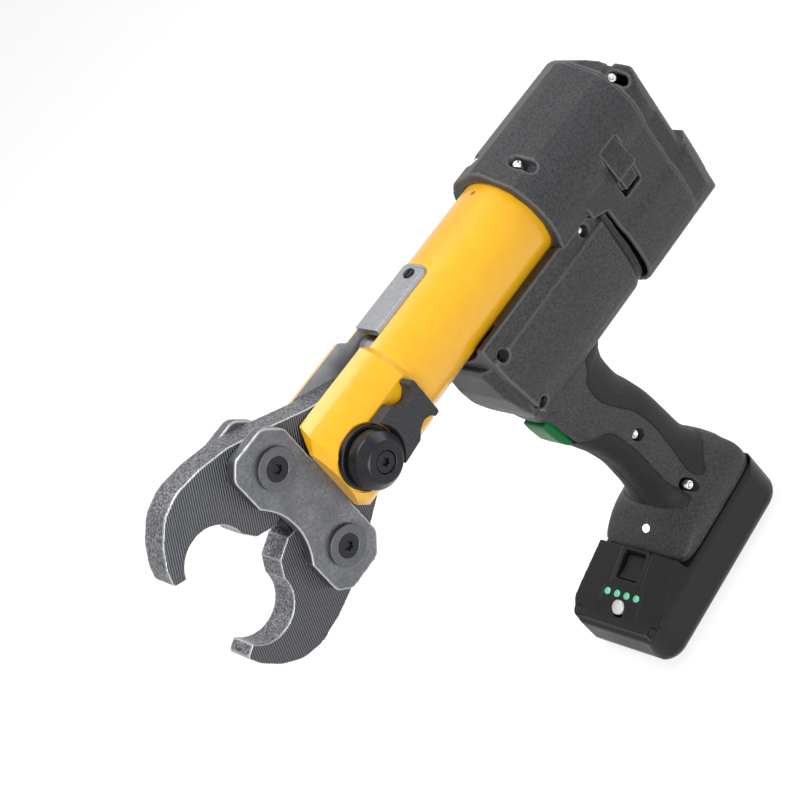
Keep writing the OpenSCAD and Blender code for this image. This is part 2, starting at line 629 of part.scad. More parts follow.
barrel_top = -17.5;
barrel_bottom = block_z + 1.5;
barrel_front = -87;
cavity_top = -cyl_r - 5.9;
cavity_y = barrel_h - wall;
cavity_z = barrel_bottom + wall;
motor_x0 = hood_front + 2;
motor_x1 = motor_x0 + motor_len;
motor_r = motor_d / 2;
planet_len = 38;
rib_t = 3;
module barrel_outer() difference() {
    intersection() {
        along(block_front - 5, barrel_front + 1)
            polygon(rounded(paired([[24, barrel_top, 0], [barrel_h - 1.8, barrel_top, 1.5],
            [barrel_h - 1.5, -27, 0.5], [barrel_h, -29.5, 1.5], [barrel_h, barrel_bottom, 17]])));
        across(-barrel_h - 1, barrel_h + 1) polygon(concat([[block_front + 11.8, barrel_top + 1],
            [barrel_front, barrel_top + 1],
            [barrel_front - 1, -40], [barrel_front - 5, -66], [barrel_front - 10, -80],
                [barrel_front - 17, barrel_bottom - 1]],
            [for (i = [len(block_edge) - 1 : -1 : 0]) [block_edge[i][0] + seam, block_edge[i][1]]]));
    }
    box([block_front - 5, -hood_r, arch_foot - seam], [hood_front + seam, hood_r, 0]);
    bar_x(strip_back_end - 2, 0, strip_top + 1.8);
    bar_x(hood_front + 1.5, strip_back_end, cyl_r + 0.4);
    bar_x(block_front - 10, hood_front + 1.6, cavity_r + 0.1);
}
planet_r = motor_r - 1.5;
module barrel_cavity() {
    translate([0, 0, motor_z]) bar_x(motor_x0 - planet_len - 3, motor_x0, planet_r + 0.2);
    translate([0, 0, motor_z]) bar_x(motor_x0 - gap, motor_x1 + gap, motor_r + 0.1);
    along(block_front - 5, motor_x1 + 4) polygon(rounded(paired([[cavity_y, cavity_top, 3],
        [cavity_y, cavity_z, 14]])));
    along(motor_x1 + 3, barrel_front + 5) polygon(rounded(paired([[26, cavity_top, 3],
        [26, cavity_z, 12]])));
}
module motor_ribs() for (x = [motor_x0 + 8, motor_x1 - 8 - rib_t]) difference() {
    box([x, -cavity_y - 1, cavity_z - 1], [x + rib_t, cavity_y + 1, cavity_top + 1]);
    translate([0, 0, motor_z]) bar_x(x - 1, x + rib_t + 1, motor_r + 0.1);
}
// closes the front of the motor housing
module front_form(d) intersection() {
    along(barrel_front - 10, barrel_front + 5) polygon(rounded(paired([[25.8 - d, cavity_top - 0.2 - d,
        4], [25.8 - d, cavity_z + 0.2 + d, 12]])));
    across(-27, 27) polygon([[barrel_front - 10 - d, -30], [barrel_front + 2 - d, -30],
        [barrel_front + 3 - d, -38], [barrel_front + 1.5 - d, -58],
        [barrel_front - 2 - d, -72], [barrel_front - 7 - d, barrel_bottom],
            [barrel_front - 10 - d, barrel_bottom]]);
    translate([0, 0, -90]) linear_extrude(70) polygon(rounded(mirrored([[barrel_front - 12 - d, 27, 0],
        [barrel_front + 3.4 - d, 27, 14]])));
}
module front_cover() color(soft_black) in_head() difference() {
    front_form(0);
    front_form(wall);
    translate([nose_screw[0], 0, nose_screw[1]]) bar_y(-barrel_h, barrel_h, nose_boss_r + gap);
}

// the grip is a column that stands on the foot and leans forward above grip_bend
foot_z = deck_h + 0.2;
grip_a = grip_len / 2;
grip_b = grip_w / 2;
grip_x = -31;
grip_bend = 92;
grip_lean = 10;
foot_front = nose_at - 0.4;
foot_back = -65.6;
foot_b = battery_w / 2 - 0.5;
function grip_section(d) = rounded([[grip_a - d, grip_b - d, 16 - d], [-grip_a + d, grip_b - d, 16 - d],
    [-grip_a + d, -grip_b + d, 16 - d], [grip_a - d, -grip_b + d, 16 - d]]);
module grip_column(d) union() {
    translate([grip_x, 0, foot_z + wall]) linear_extrude(grip_bend - foot_z - wall)
        polygon(grip_section(d));
    translate([grip_x, 0, grip_bend]) rotate([0, grip_lean, 0]) translate([0, 0, -6]) linear_extrude(96)
        polygon(grip_section(d));
}
// fuller top of the grip round the trigger
module grip_head(d) intersection() {
    across(-grip_b + d, grip_b - d) polygon(rounded([[grip_x - grip_a + 18 + d, 181, 0],
        [grip_x - grip_a + 18 + d, 150, 0],
        [-4 - d, 137 + d, 2], [7.6 - d, 146 + d, 4], [9.8 - d, 162, 0], [12.5 - d, 181, 0]]));
    translate([0, 0, 130]) linear_extrude(60) polygon(rounded([[12.5 - d, grip_b - d, 13],
        [-50, grip_b - d, 0],
        [-50, -grip_b + d, 0], [12.5 - d, -grip_b + d, 13]]));
}
module foot() intersection() {
    across(-foot_b, foot_b) polygon(rounded([[foot_back, foot_z, 0], [foot_back, foot_z + 8, 2],
        [foot_back + 4, foot_z + 13.5, 3],
        [foot_back + 10, foot_z + 20, 8], [grip_x - grip_a, foot_z + 34, 0],
            [grip_x + grip_a, foot_z + 34, 0],
        [grip_x + grip_a + 3, foot_z + 23, 8], [foot_front - 8, foot_z + 14.5, 5],
            [foot_front, foot_z + 9, 2], [foot_front, foot_z, 0]]));
    along(foot_back, foot_front) polygon(rounded(paired([[foot_b, foot_z, 0], [foot_b, foot_z + 10, 3],
        [foot_b - 5, foot_z + 15, 3],
        [grip_b + 2, foot_z + 23, 6], [grip_b, foot_z + 34, 0]])));
    translate([0, 0, foot_z]) linear_extrude(40)
        polygon(rounded([[foot_front, foot_b, 5], [foot_back, foot_b, 8],
        [foot_back, -foot_b, 8], [foot_front, -foot_b, 5]]));
}
// the side screws seat this far from the middle plane
side_seat = 23;
lug_screw = [-95, -29.5];
rim_screw = [cyl_back - 5, -24];
nose_screw = [-98, -71.4];
nose_boss_r = 4;
grip_screws = [[-23.5, 113.4, 10], [-25.7, 59.7, 13]];
trigger_pin = [5.5, 172];
trigger_low = 145.5;
trigger_high = 177;
plunger_z = 159;
trigger_pocket = trigger_w / 2 + gap;
lamp = [5, 50];
lamp_tilt = 30;
module grip_boss(r, y0, y1) for (p = grip_screws) translate([p[0], 0, p[1]]) bar_y(y0, y1, r);
module housing_shell() difference() {
    union() {
        in_head() barrel_outer();
        grip_column(0);
        grip_head(0);
        foot();
    }
    difference() {
        union() {
            in_head() barrel_cavity();
            grip_column(wall);
            grip_head(wall);
            box([foot_back + wall, -foot_b + wall, foot_z + wall],
                [foot_front - wall, foot_b - wall, foot_z + 9.2]);
        }
        in_head() motor_ribs();
        in_head() translate([nose_screw[0], 0, nose_screw[1]]) bar_y(-barrel_h, barrel_h, nose_boss_r);
        grip_boss(4.2, -30, 30);
        box([-4, -trigger_pocket - 3, trigger_low - 4.5], [20, trigger_pocket + 3, trigger_high + 3]);
        translate([lamp[0], 0, lamp[1]]) rotate([0, lamp_tilt, 0]) translate([0, 0, -6.5])
            cylinder(h = 9, r = 4.6);
    }
    box([-1, -trigger_pocket, trigger_low - 1.5], [30, trigger_pocket, trigger_high + 1]);
    translate([trigger_pin[0], 0, trigger_pin[1]])
        bar_y(-trigger_pocket - 2, trigger_pocket + 2, 2 + run_fit);
    translate([0, 0, plunger_z]) rotate([0, -90, 0]) cylinder(h = 10, r = 3);
    for (p = grip_screws) translate([p[0], 0, p[1]]) {
        bar_y(p[2], 40, pocket_r);
        bar_y(p[2] - 22, p[2] + 1, screw_r + 0.1);
    }
    in_head() for (s = [0, 1]) mirror([0, s, 0]) {
        translate([lug_screw[0], 0, lug_screw[1]]) bar_y(side_seat, 40, pocket_r);
        translate([lug_screw[0], 0, lug_screw[1]]) bar_y(10, 30, screw_r + 0.1);
        translate([rim_screw[0], 0, rim_screw[1]]) bar_y(side_seat + 3, 40, pocket_r);
        translate([rim_screw[0], 0, rim_screw[1]]) bar_y(10, 30, screw_r + 0.1);
    }
    in_head() translate([nose_screw[0], 0, nose_screw[1]]) {
        bar_y(24, 40, pocket_r);
        bar_y(0, 25, screw_r + 0.1);
    }
    box([-50.2, -15.8, foot_z - 1], [8.2, 15.8, foot_z + wall + 1]);
    translate([lamp[0], 0, lamp[1]]) rotate([0, lamp_tilt, 0]) {
        cylinder(h = 20, r = 4.6);
        translate([0, 0, -6]) cylinder(h = 20, r = 3.05);
    }
    difference() {
        inlay_region(-40, 40);
        grip_column(inlay_t);
    }
}
module housing_left() color(charcoal) intersection() {
    housing_shell();
    box([-200, seam / 2, 0], [60, 60, 330]);
}
module housing_right() color(charcoal) intersection() {
    housing_shell();
    box([-200, -60, 0], [60, -seam / 2, 330]);
}
// soft grip let into the shells behind and in front of the band with the screws
inlay_t = 1.4;
inlay_rear = [[-24, 165, 3], [-18.8, 157.4, 7], [-31, 126.6, 30], [-34.5, 102.4, 30], [-31.9, 71.5, 12],
    [-35, foot_z + 25, 2],
    [-75, foot_z + 25, 0], [-75, 165, 0]];
inlay_front = [[-6, 135.5, 2], [-11.3, 131.7, 5], [-14.5, 121.4, 12], [-17, 102, 20],
    [-16.7, foot_z + 25, 3], [4, foot_z + 25, 0],
    [4, 135.5, 0]];
module inlay_region(y0, y1) {
    across(y0, y1) polygon(rounded(inlay_rear));
    across(y0, y1) polygon(rounded(inlay_front));
}
module grip_inlay(y0, y1) intersection() {
    difference() {
        grip_column(0);
        grip_column(inlay_t);
    }
    inlay_region(y0, y1);
}
module grip_inlay_left() color(soft_black) grip_inlay(seam / 2, 40);
module grip_inlay_right() color(soft_black) grip_inlay(-40, -seam / 2);
module screw_y(y_seat, len) {
    bar_y(y_seat - len, y_seat, screw_r);
    bar_y(y_seat, y_seat + 2.2, screw_head);
}
module housing_screws() color(steel) {
    for (p = grip_screws) translate([p[0], 0, p[1]]) screw_y(p[2], 20);
    in_head() for (s = [0, 1]) mirror([0, s, 0]) {
        translate([lug_screw[0], 0, lug_screw[1]]) screw_y(side_seat, 12);
        translate([rim_screw[0], 0, rim_screw[1]]) screw_y(side_seat + 3, 15);
    }
    in_head() translate([nose_screw[0], 0, nose_screw[1]]) screw_y(24, 22);
}

module pump_block() color(steel) in_head() difference() {
    union() {
        bar_x(pump_x0, cyl_back - 2, pump_r);
        bar_x(cyl_back - 3, piston_x0 - 6, bore_r - run_fit);
        translate([0, 0, wheel_z]) bar_x(pump_x0, pump_x0 + 22, 14);
    }
    translate([0, 0, wheel_z]) bar_x(pump_x0 - 1, pump_x0 + 14, 8.6);
    for (s = [-1, 1]) {
        translate([hood_screw_x, s * hood_screw_y, 12]) cylinder(h = 20, r = screw_r + 0.05);
        translate([rim_screw[0], 0, rim_screw[1]])
            bar_y(s < 0 ? -30 : 10, s < 0 ? -10 : 30, screw_r + 0.05);
    }
    box([reset_x - 4, pump_r - 7, reset_top - reset_h - reset_travel],
        [reset_x + 4, pump_r + 1, reset_top - 6]);
}
module gear_plate() color("#a6a8aa") in_head() difference() {
    union() {
        bar_x(plate_x0, pump_x0, cavity_r - 0.05);
        along(plate_x0, pump_x0) block_section(wall + 0.05);
    }
    translate([0, 0, motor_z]) bar_x(plate_x0 - 1, pump_x0 + 1, shaft_r + run_fit);
    translate([0, 0, wheel_z]) bar_x(plate_x0 - 1, pump_x0 + 1, shaft_r + run_fit);
    for (p = cover_screws) translate([0, p[0], p[1]]) bar_x(plate_x0 - 1, pump_x0 + 1, screw_r + 0.05);
    for (y = [-22, 22]) translate([0, y, -40]) bar_x(plate_x0 - 1, pump_x0 + 1, 5);
}
bearing_r = 6;
rotor_r = 13.5;
motor_shaft_r = 2.5;
module motor_stator() color("#5a5c60") in_head() translate([0, 0, motor_z]) difference() {
    bar_x(motor_x0, motor_x1, motor_r);
    bar_x(motor_x0 + 4, motor_x1 - 4, rotor_r + 0.4);
    bar_x(motor_x0 - 1, motor_x1 + 1, bearing_r + 0.05);
}
module motor_bearings() color(steel) in_head() translate([0, 0, motor_z])
    for (x = [motor_x0, motor_x1 - 4]) difference() {
    bar_x(x, x + 4, bearing_r);
    bar_x(x - 1, x + 5, motor_shaft_r + run_fit);
}
module motor_rotor() color("#8a5a33") in_head() translate([0, 0, motor_z]) {
    bar_x(motor_x0 + 5, motor_x1 - 5, rotor_r);
    bar_x(motor_x0 - 6, motor_x1 + 7, motor_shaft_r);
}
module motor_fan() color(black) in_head() translate([0, 0, motor_z]) difference() {
    union() {
        bar_x(motor_x1 + 1, motor_x1 + 6.5, 5);
        for (i = [0 : 8]) rotate([i * 40, 0, 0]) box([motor_x1 + 1.5, 4, -0.6], [motor_x1 + 6, 14, 0.6]);
        bar_x(motor_x1 + 0.8, motor_x1 + 1.8, 14);
    }
    bar_x(motor_x1, motor_x1 + 8, motor_shaft_r);
}
module planet_case() color("#707276") in_head() translate([0, 0, motor_z]) difference() {
    bar_x(motor_x0 - planet_len, motor_x0, planet_r);
    bar_x(motor_x0 - 7, motor_x0 + 1, motor_shaft_r + 0.3);
    bar_x(motor_x0 - planet_len - 1, motor_x0 - 20, shaft_r + run_fit);
}
// straight flanks that stand for involutes; slack leaves the mesh free to turn
module gear(teeth, slack) {
    r = gear_module * teeth / 2;
    half = 90 / teeth - slack / r * 57.3;
    lean = tan(20) * gear_module / r * 57.3;
    polygon([for (i = [0 : teeth - 1]) for (k = [[-1.25, -half - lean * 1.1], [1, -half + lean * 1.15],
        [1, half - lean * 1.15],
        [-1.25, half + lean * 1.1]]) let (a = 360 * i / teeth + k[1],
            q = r + gear_module * k[0]) [q * cos(a), q * sin(a)]]);
}
module drive_pinion() color(steel) in_head() translate([0, 0, motor_z]) {
    bar_x(gear_x0 - 6, motor_x0 - planet_len + 10, shaft_r);
    // a tooth points straight up at the wheel
    along(gear_x0, gear_x0 + gear_len) rotate(90) gear(pinion_teeth, 0.12);
}
module gear_wheel() color(steel) in_head() translate([0, 0, wheel_z]) difference() {
    along(gear_x0 + 0.5, gear_x0 + gear_len - 0.5) rotate(-90 + 180 / wheel_teeth) gear(wheel_teeth, 0.12);
    bar_x(gear_x0 - 1, gear_x0 + gear_len + 1, shaft_r);
    for (i = [0 : 5]) rotate([i * 60, 0, 0]) translate([0, 12.5, 0])
        bar_x(gear_x0 - 1, gear_x0 + gear_len + 1, 3.6);
}
module eccentric_shaft() color(steel) in_head() translate([0, 0, wheel_z]) {
    bar_x(gear_x0 - 3, pump_x0 + 2, shaft_r);
    translate([0, 1.6, 0]) bar_x(pump_x0 + 2, pump_x0 + 12, 6);
}

module trigger() color("#0f5c33") union() {
    across(-trigger_w / 2, trigger_w / 2) polygon(rounded([[3.4, trigger_low + 0.4, 1.5],
        [9.8, trigger_low + 0.4, 2.5], [13.4, trigger_low + 9, 6], [14.8, trigger_low + 21, 14],
        [14.2, trigger_high - 0.6, 1.5], [2.5, trigger_high - 0.6, 1.5], [1.6, trigger_pin[1] - 2, 3]]));
    translate([trigger_pin[0], 0, trigger_pin[1]]) bar_y(-trigger_pocket - 1.7, trigger_pocket + 1.7, 2);
}
module trigger_switch() color(black) {
    box([-20, -8, plunger_z - 13], [-4.05, 8, plunger_z + 13]);
    translate([-4.1, 0, plunger_z]) rotate([0, 90, 0]) cylinder(h = 3.4, r = 2.5);
}
module control_board() color("#1d5a3a") box([-50, -19, foot_z + wall + 1.6], [0, 19, foot_z + wall + 3.2]);
module work_lamp() color("#f2f4f6") translate([lamp[0], 0, lamp[1]]) rotate([0, lamp_tilt, 0]) union() {
    translate([0, 0, -6]) cylinder(h = 6, r = 3);
    intersection() {
        translate([0, 0, -1.2]) sphere(r = 3.2);
        translate([0, 0, -0.5]) cylinder(h = 4, r = 2.6);
    }
}

channel_y = 16;
channel_x = 10;
lid_base = deck_h - 10;
channel_z = deck_h - 8;
blade_y = [-9, 0, 9];
module contact_block() color(black) difference() {
    union() {
        box([-50, -channel_y + 0.5, channel_z + 0.5],
            [channel_x - 2, channel_y - 0.5, foot_z + wall + 0.5]);
        box([-52, -channel_y - 2, foot_z + wall], [1, channel_y + 2, foot_z + wall + 1.6]);
    }
    for (y = blade_y) box([-46, y - 0.9, channel_z], [channel_x, y + 0.9, channel_z + 5.6]);
}
bat_x = battery_len / 2;
bat_y = battery_w / 2;
case_wall = 2.4;
case_round = 9;
case_end_round = 12;
nose_back = 3;
lip_screws = [[60.3, 31.3], [60.3, -31.3], [-60.3, 30], [-60.3, -30]];
module battery_form(d, z0, z1) intersection() {
    along(-bat_x + d, bat_x - d) polygon(rounded(paired([[bat_y - d, z1, 0],
        [bat_y - d, z0, z0 > 5 ? 0 : case_round - d]])));
    across(-bat_y, bat_y) polygon(rounded([[-bat_x + d, z1, 0],
        [-bat_x + d, z0, z0 > 5 ? 0 : case_end_round - d],
        [bat_x - nose_back - d, z0, z0 > 5 ? 0 : case_end_round - d],
        [bat_x - d, 13, 0], [bat_x - 1 - d, z1, 0]]));
    linear_extrude(100) polygon(rounded(mirrored([[-bat_x + d, bat_y - d, 8 - d],
        [bat_x - d, bat_y - d, 7 - d]])));
}
module battery_case() color(black) difference() {
    battery_form(0, 0, lid_base);
    difference() {
        battery_form(case_wall, case_wall, lid_base + 1);
        for (p = lip_screws) translate([p[0] * 0.985, p[1], 0]) cylinder(h = 60, r = 3.6);
    }
    for (p = lip_screws) translate([p[0], p[1], lid_base - 14]) cylinder(h = 20, r = 1.45);
}
module nose_side() across(-bat_y, bat_y) polygon(rounded([[-bat_x, lid_base, 0],
    [bat_x - 1.6, lid_base, 0], [bat_x - 3.2, lid_base + 2, 1],
    [bat_x - 6, lid_base + 2.4, 1], [53, 36, 14], [nose_at, nose_h, 0.6], [nose_at, deck_h, 0],
        [-bat_x + 1.5, deck_h, 0],
    [-bat_x, deck_h - 2, 0]]));
module battery_lid() color(black) difference() {
    intersection() {
        nose_side();
        along(-bat_x, bat_x) polygon(rounded(paired([[bat_y, lid_base, 0], [bat_y, deck_h - 3, 0],
            [bat_y - 1, deck_h, 0],
            [bat_y - 4.5, nose_h - 1, 0], [bat_y - 5.5, nose_h + 1, 0]])));
        linear_extrude(100) polygon(rounded(mirrored([[-bat_x, bat_y, 8], [bat_x, bat_y, 7]])));
    }
    // channel that takes the tool's contact block, open to the rear
    box([-bat_x - 1, -channel_y, channel_z], [channel_x, channel_y, deck_h + 1]);
    for (s = [-1, 1]) box([-bat_x + 4, s < 0 ? -bat_y + 5 : channel_y + 3, lid_base - 1],
        [nose_at - 6, s < 0 ? -channel_y - 3 : bat_y - 5, deck_h - 3]);
    for (y = blade_y) box([-42.5, y - 0.5, lid_base - 1], [-29.5, y + 0.5, channel_z + 1]);
    // well of the release button and the places of the lamps and the check button
    box([release_x - release_w / 2 - 2.2, -release_w / 2 - 2.2, deck_h - 3],
        [release_x + release_w / 2 + gap, release_w / 2 + 2.2, nose_h + 2]);
    box([release_x - release_w / 2 - gap, -release_w / 2 - gap, lid_base + 1],
        [release_x + release_w / 2 + gap, release_w / 2 + gap, nose_h]);
    for (y = lamp_y) translate([lamp_x, y, channel_z]) cylinder(h = 20, r = 1.7);
    translate([check_x, 0, channel_z]) cylinder(h = 20, r = check_d / 2 + 0.15);
    for (p = lip_screws) translate([p[0], p[1], lid_base - 1]) {
        cylinder(h = 20, r = 1.6);
        translate([0, 0, 2.6]) cylinder(h = 20, r = 2.9);
    }
}
release_x = 27.5;
lamp_x = 45.5;
lamp_y = [-12, -4, 4, 12];
check_x = 53;
function nose_top(x) = nose_h + (x - nose_at) * (36 - nose_h) / (53 - nose_at);
cells = 6;
cell_pitch = cell_d + 0.2;
cell_z = case_wall + 2 + cell_d / 2;
function cell_x(i) = (i - (cells - 1) / 2) * cell_pitch;
module battery_cells() color("#3d6fa8") for (i = [0 : cells - 1]) translate([cell_x(i), 0, cell_z])
    bar_y(-cell_len / 2, cell_len / 2, cell_d / 2);
holder_x = min(cells * cell_pitch / 2 - 0.4, bat_x - nose_back - case_end_round);
holder_y = bat_y - case_round - 1;
module cell_holder() color("#c9c6bb") difference() {
    box([-holder_x, -holder_y, case_wall], [holder_x, holder_y, cell_z - 1]);
    for (i = [0 : cells - 1]) translate([cell_x(i), 0, cell_z])
        bar_y(-cell_len, cell_len, cell_d / 2 + 0.05);
}
module battery_terminals() color("#c9a14a") for (y = blade_y) {
    box([-42, y - 0.4, cell_z + cell_d / 2 + 1.6], [-30, y + 0.4, channel_z + 5]);
    box([-42, y - 2.5, cell_z + cell_d / 2 + 0.6], [-30, y + 2.5, cell_z + cell_d / 2 + 1.6]);
}
module battery_screws() color(dark_steel) for (p = lip_screws) translate([p[0], p[1], 0]) {
    translate([0, 0, lid_base - 12]) cylinder(h = 14.6, r = 1.4);
    translate([0, 0, lid_base + 2.6]) cylinder(h = 1.8, r = 2.6);
}
module charge_lamps() color("#4fd08a") for (y = lamp_y) translate([lamp_x, y, 0]) union() {
    translate([0, 0, channel_z]) cylinder(h = nose_top(lamp_x) - channel_z - 0.3, r = 1.6);
    intersection() {
        translate([0, 0, nose_top(lamp_x) - 2]) sphere(r = 2.4);
        translate([0, 0, nose_top(lamp_x) - 1]) cylinder(h = 3, r = 1.6);
    }
}
module release_button() color(black) difference() {
    box([release_x - release_w / 2, -release_w / 2, lid_base + 4],
        [release_x + release_w / 2, release_w / 2, nose_top(release_x) - 1.6]);
    translate([release_x + 4, 0, nose_top(release_x) + 24]) rotate([90, 0, 0])
        cylinder(h = 40, r = 27.2, center = true);
}
module check_button() color("#f0f1ef") translate([check_x, 0, channel_z + 1.5])
    cylinder(h = nose_top(check_x) - channel_z - 0.9, r = check_d / 2);

press_cylinder();
slot_strip_top();
slot_strip_bottom();
strip_screws();
rod_guide();
tong_plate_left();
tong_plate_right();
jaw_bolts();
jaw_bolt_caps();
jaw_bolt_screws();
tong_spring();
jaw_upper();
jaw_lower();
holding_pin();
pin_knob();
knob_screw();
lock_lever();
piston();
piston_seal();
return_spring();
roller_carrier();
roller_axles();
roller_upper();
roller_lower();
housing_left();
housing_right();
hood();
rear_cover();
front_cover();
swivel_bush();
grip_inlay_left();
grip_inlay_right();
housing_screws();
hood_screws();
pump_block();
gear_plate();
motor_stator();
planet_case();
motor_bearings();
motor_rotor();
motor_fan();
drive_pinion();
gear_wheel();
eccentric_shaft();
trigger();
trigger_switch();
reset_lever();
control_board();
work_lamp();
contact_block();
battery_case();
battery_lid();
battery_cells();
cell_holder();
battery_terminals();
battery_screws();
charge_lamps();
release_button();
check_button();
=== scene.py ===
import json
import math
import bmesh
import bpy
import numpy as np
from mathutils import Matrix, Vector


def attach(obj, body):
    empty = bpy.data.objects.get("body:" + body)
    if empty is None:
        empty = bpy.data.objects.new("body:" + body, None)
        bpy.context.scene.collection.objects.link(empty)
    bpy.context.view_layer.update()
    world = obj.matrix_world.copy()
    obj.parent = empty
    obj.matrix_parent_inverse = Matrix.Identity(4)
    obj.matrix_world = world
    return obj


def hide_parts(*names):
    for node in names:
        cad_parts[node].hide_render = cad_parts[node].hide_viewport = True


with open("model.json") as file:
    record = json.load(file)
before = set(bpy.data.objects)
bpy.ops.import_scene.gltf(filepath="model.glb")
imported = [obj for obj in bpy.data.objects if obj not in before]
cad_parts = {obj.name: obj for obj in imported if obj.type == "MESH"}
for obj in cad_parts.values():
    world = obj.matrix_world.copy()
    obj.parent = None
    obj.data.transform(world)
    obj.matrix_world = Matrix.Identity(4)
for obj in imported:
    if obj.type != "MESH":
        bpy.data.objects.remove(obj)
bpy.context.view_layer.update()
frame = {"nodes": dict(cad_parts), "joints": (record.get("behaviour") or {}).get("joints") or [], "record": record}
joints = {j["name"]: j for j in frame["joints"]}
mounts = {m["name"]: m for m in frame["record"]["mounts"]}
print("frame loaded")

# The head's own frame, in millimetres: it starts at the tong pin, x runs forward along the cylinder,
# y to the left and z up, and the whole of it leans by the angle of the head's axis.
pinToMouth = 79.5
headAxis = np.array(joints["head_turn"]["axis"], float)
headUp = np.array([-headAxis[2], 0.0, headAxis[0]])
headOrigin = np.array(mounts["jaw_mouth"]["pos_m"], float) - headAxis * pinToMouth / 1000
headTurn = np.array([headAxis, [0.0, 1.0, 0.0], headUp])


def fromHead(points):
    # millimetres of the head's frame to metres of the row's frame
    return headOrigin + np.asarray(points, float) @ headTurn / 1000


def fromFoot(points):
    # millimetres from the battery's flat bottom to metres
    return np.asarray(points, float) / 1000


# Camera, placed in the head's frame by the tool's own circles and edges
camera = {
    "place": (276.8, 778.3, 527.9),
    "right": (-0.5706, 0.616, -0.5432),
    "up": (-0.7554, -0.1341, 0.6414),
    "back": (0.3223, 0.7763, 0.5418),
    "lens": 84.69,
    "sensor": 36.0,
}


def placeCamera():
    data = bpy.data.cameras.new("camera")
    data.lens = camera["lens"]
    data.sensor_width = camera["sensor"]
    data.clip_end = 20
    eye = bpy.data.objects.new("camera", data)
    bpy.context.scene.collection.objects.link(eye)
    turn = np.array([camera["right"], camera["up"], camera["back"]]) @ headTurn
    eye.matrix_world = Matrix.Translation(fromHead(camera["place"])) @ Matrix(turn.T.tolist()).to_4x4()
    bpy.context.scene.camera = eye


placeCamera()
print("camera placed")


# Materials
def hexColour(text):
    # sRGB hex to the linear colour that the shader works in
    value = np.array([int(text[i:i + 2], 16) for i in (1, 3, 5)]) / 255
    linear = np.where(value <= 0.04045, value / 12.92, ((value + 0.055) / 1.055) ** 2.4)
    return (*[float(v) for v in linear], 1.0)


def feed(tree, node, values=None, links=None):
    # numbers and hex colours set on a node's sockets, and outputs that are linked to them
    for key, value in (values or {}).items():
        node.inputs[key].default_value = hexColour(value) if isinstance(value, str) else value
    for key, socket in (links or {}).items():
        tree.links.new(socket, node.inputs[key])
    return node


def addNode(tree, kind, values=None, links=None, **settings):
    node = tree.nodes.new("ShaderNode" + kind)
    for key, value in settings.items():
        setattr(node, key, value)
    return feed(tree, node, values, links)


def seenDirectly(tree):
    # 1 on the rays from the camera and from glossy surfaces, 0 on those that only carry light
    path = addNode(tree, "LightPath")
    either = addNode(tree, "Math", operation="MAXIMUM",
                     links={0: path.outputs["Is Camera Ray"], 1: path.outputs["Is Glossy Ray"]})
    return either.outputs[0]


def startMaterial(name):
    material = bpy.data.materials.new(name)
    material.use_nodes = True
    tree = material.node_tree
    tree.nodes.clear()
    place = addNode(tree, "TexCoord")
    shader = addNode(tree, "BsdfPrincipled")
    addNode(tree, "OutputMaterial", links={"Surface": shader.outputs[0]})
    return material, tree, place.outputs["Object"], shader


def perMm(size):
    # noise scale, in metres, whose blotches are so many millimetres wide
    return 1000 / size


def noiseFactor(tree, where, size, low, high, detail=3.0):
    # noise stretched so that it runs from 0 at low to 1 at high
    noise = addNode(tree, "TexNoise", {"Scale": perMm(size), "Detail": detail}, {"Vector": where})
    span = addNode(tree, "MapRange", {"From Min": low, "From Max": high}, {"Value": noise.outputs[0]})
    return span.outputs[0]


def grainySurface(name, **look):
    # colour in two shades, roughness that wanders a little, and a fine relief of grains
    material, tree, where, shader = startMaterial(name)
    speck = noiseFactor(tree, where, look["speckMm"], 0.35, 0.65)
    cloud = noiseFactor(tree, where, look.get("cloudMm", 38), 0.3, 0.7, 2.0)
    grains = addNode(tree, "Mix", {6: look["colour"], 7: look["second"]}, {0: speck}, data_type="RGBA")
    shade = addNode(tree, "Mix", {7: look.get("worn", look["colour"])}, {0: cloud, 6: grains.outputs[2]},
                    data_type="RGBA")
    soft = addNode(tree, "Mix", {0: look.get("cloudShare", 0.35)},
                   {6: grains.outputs[2], 7: shade.outputs[2]}, data_type="RGBA")
    # the "seam" attribute is 1 in the grooves between mouldings, where painted shade darkens them; the highlight
    # attribute is 1 along ridges and creases, where a painted highlight lightens them
    seamShade = addNode(tree, "Attribute", attribute_name="seam")
    # painted shade: the grooves between mouldings are darkened towards near black
    skin = addNode(tree, "Mix", {7: "#0c0c0d"}, {0: seamShade.outputs["Fac"], 6: soft.outputs[2]},
                   data_type="RGBA")
    # painted highlight: along ridges and creases the colour is lightened towards the edge colour
    if "edge" in look:
        ridgeHighlight = addNode(tree, "Attribute", attribute_name="ridgeHighlight")
        share = addNode(tree, "Math", {1: look["edgeShare"]}, {0: ridgeHighlight.outputs["Fac"]}, operation="MULTIPLY")
        skin = addNode(tree, "Mix", {7: look["edge"]}, {0: share.outputs[0], 6: skin.outputs[2]},
                       data_type="RGBA")
    vary = look.get("roughVary", 0.05)
    rough = addNode(tree, "MapRange", {"To Min": look["rough"] - vary, "To Max": look["rough"] + vary},
                    {"Value": cloud})
    relief = addNode(tree, "Bump", {"Strength": 1.0, "Distance": look["grainDepth"] / 1000},
                     {"Height": noiseFactor(tree, where, look["grainMm"], 0.3, 0.7, 2.0)})
    values = {"Metallic": look.get("metallic", 0.0), "Coat Weight": look.get("coat", 0.0),
              "Coat Roughness": look.get("coatRough", 0.1)}
    if not look.get("metallic"):
        values.update({"IOR": look.get("ior", 1.5), "Specular IOR Level": look.get("gleam", 0.5)})
    feed(tree, shader, values, {"Base Color": skin.outputs[2], "Roughness": rough.outputs[0],
                                "Normal": relief.outputs[0]})
    return material


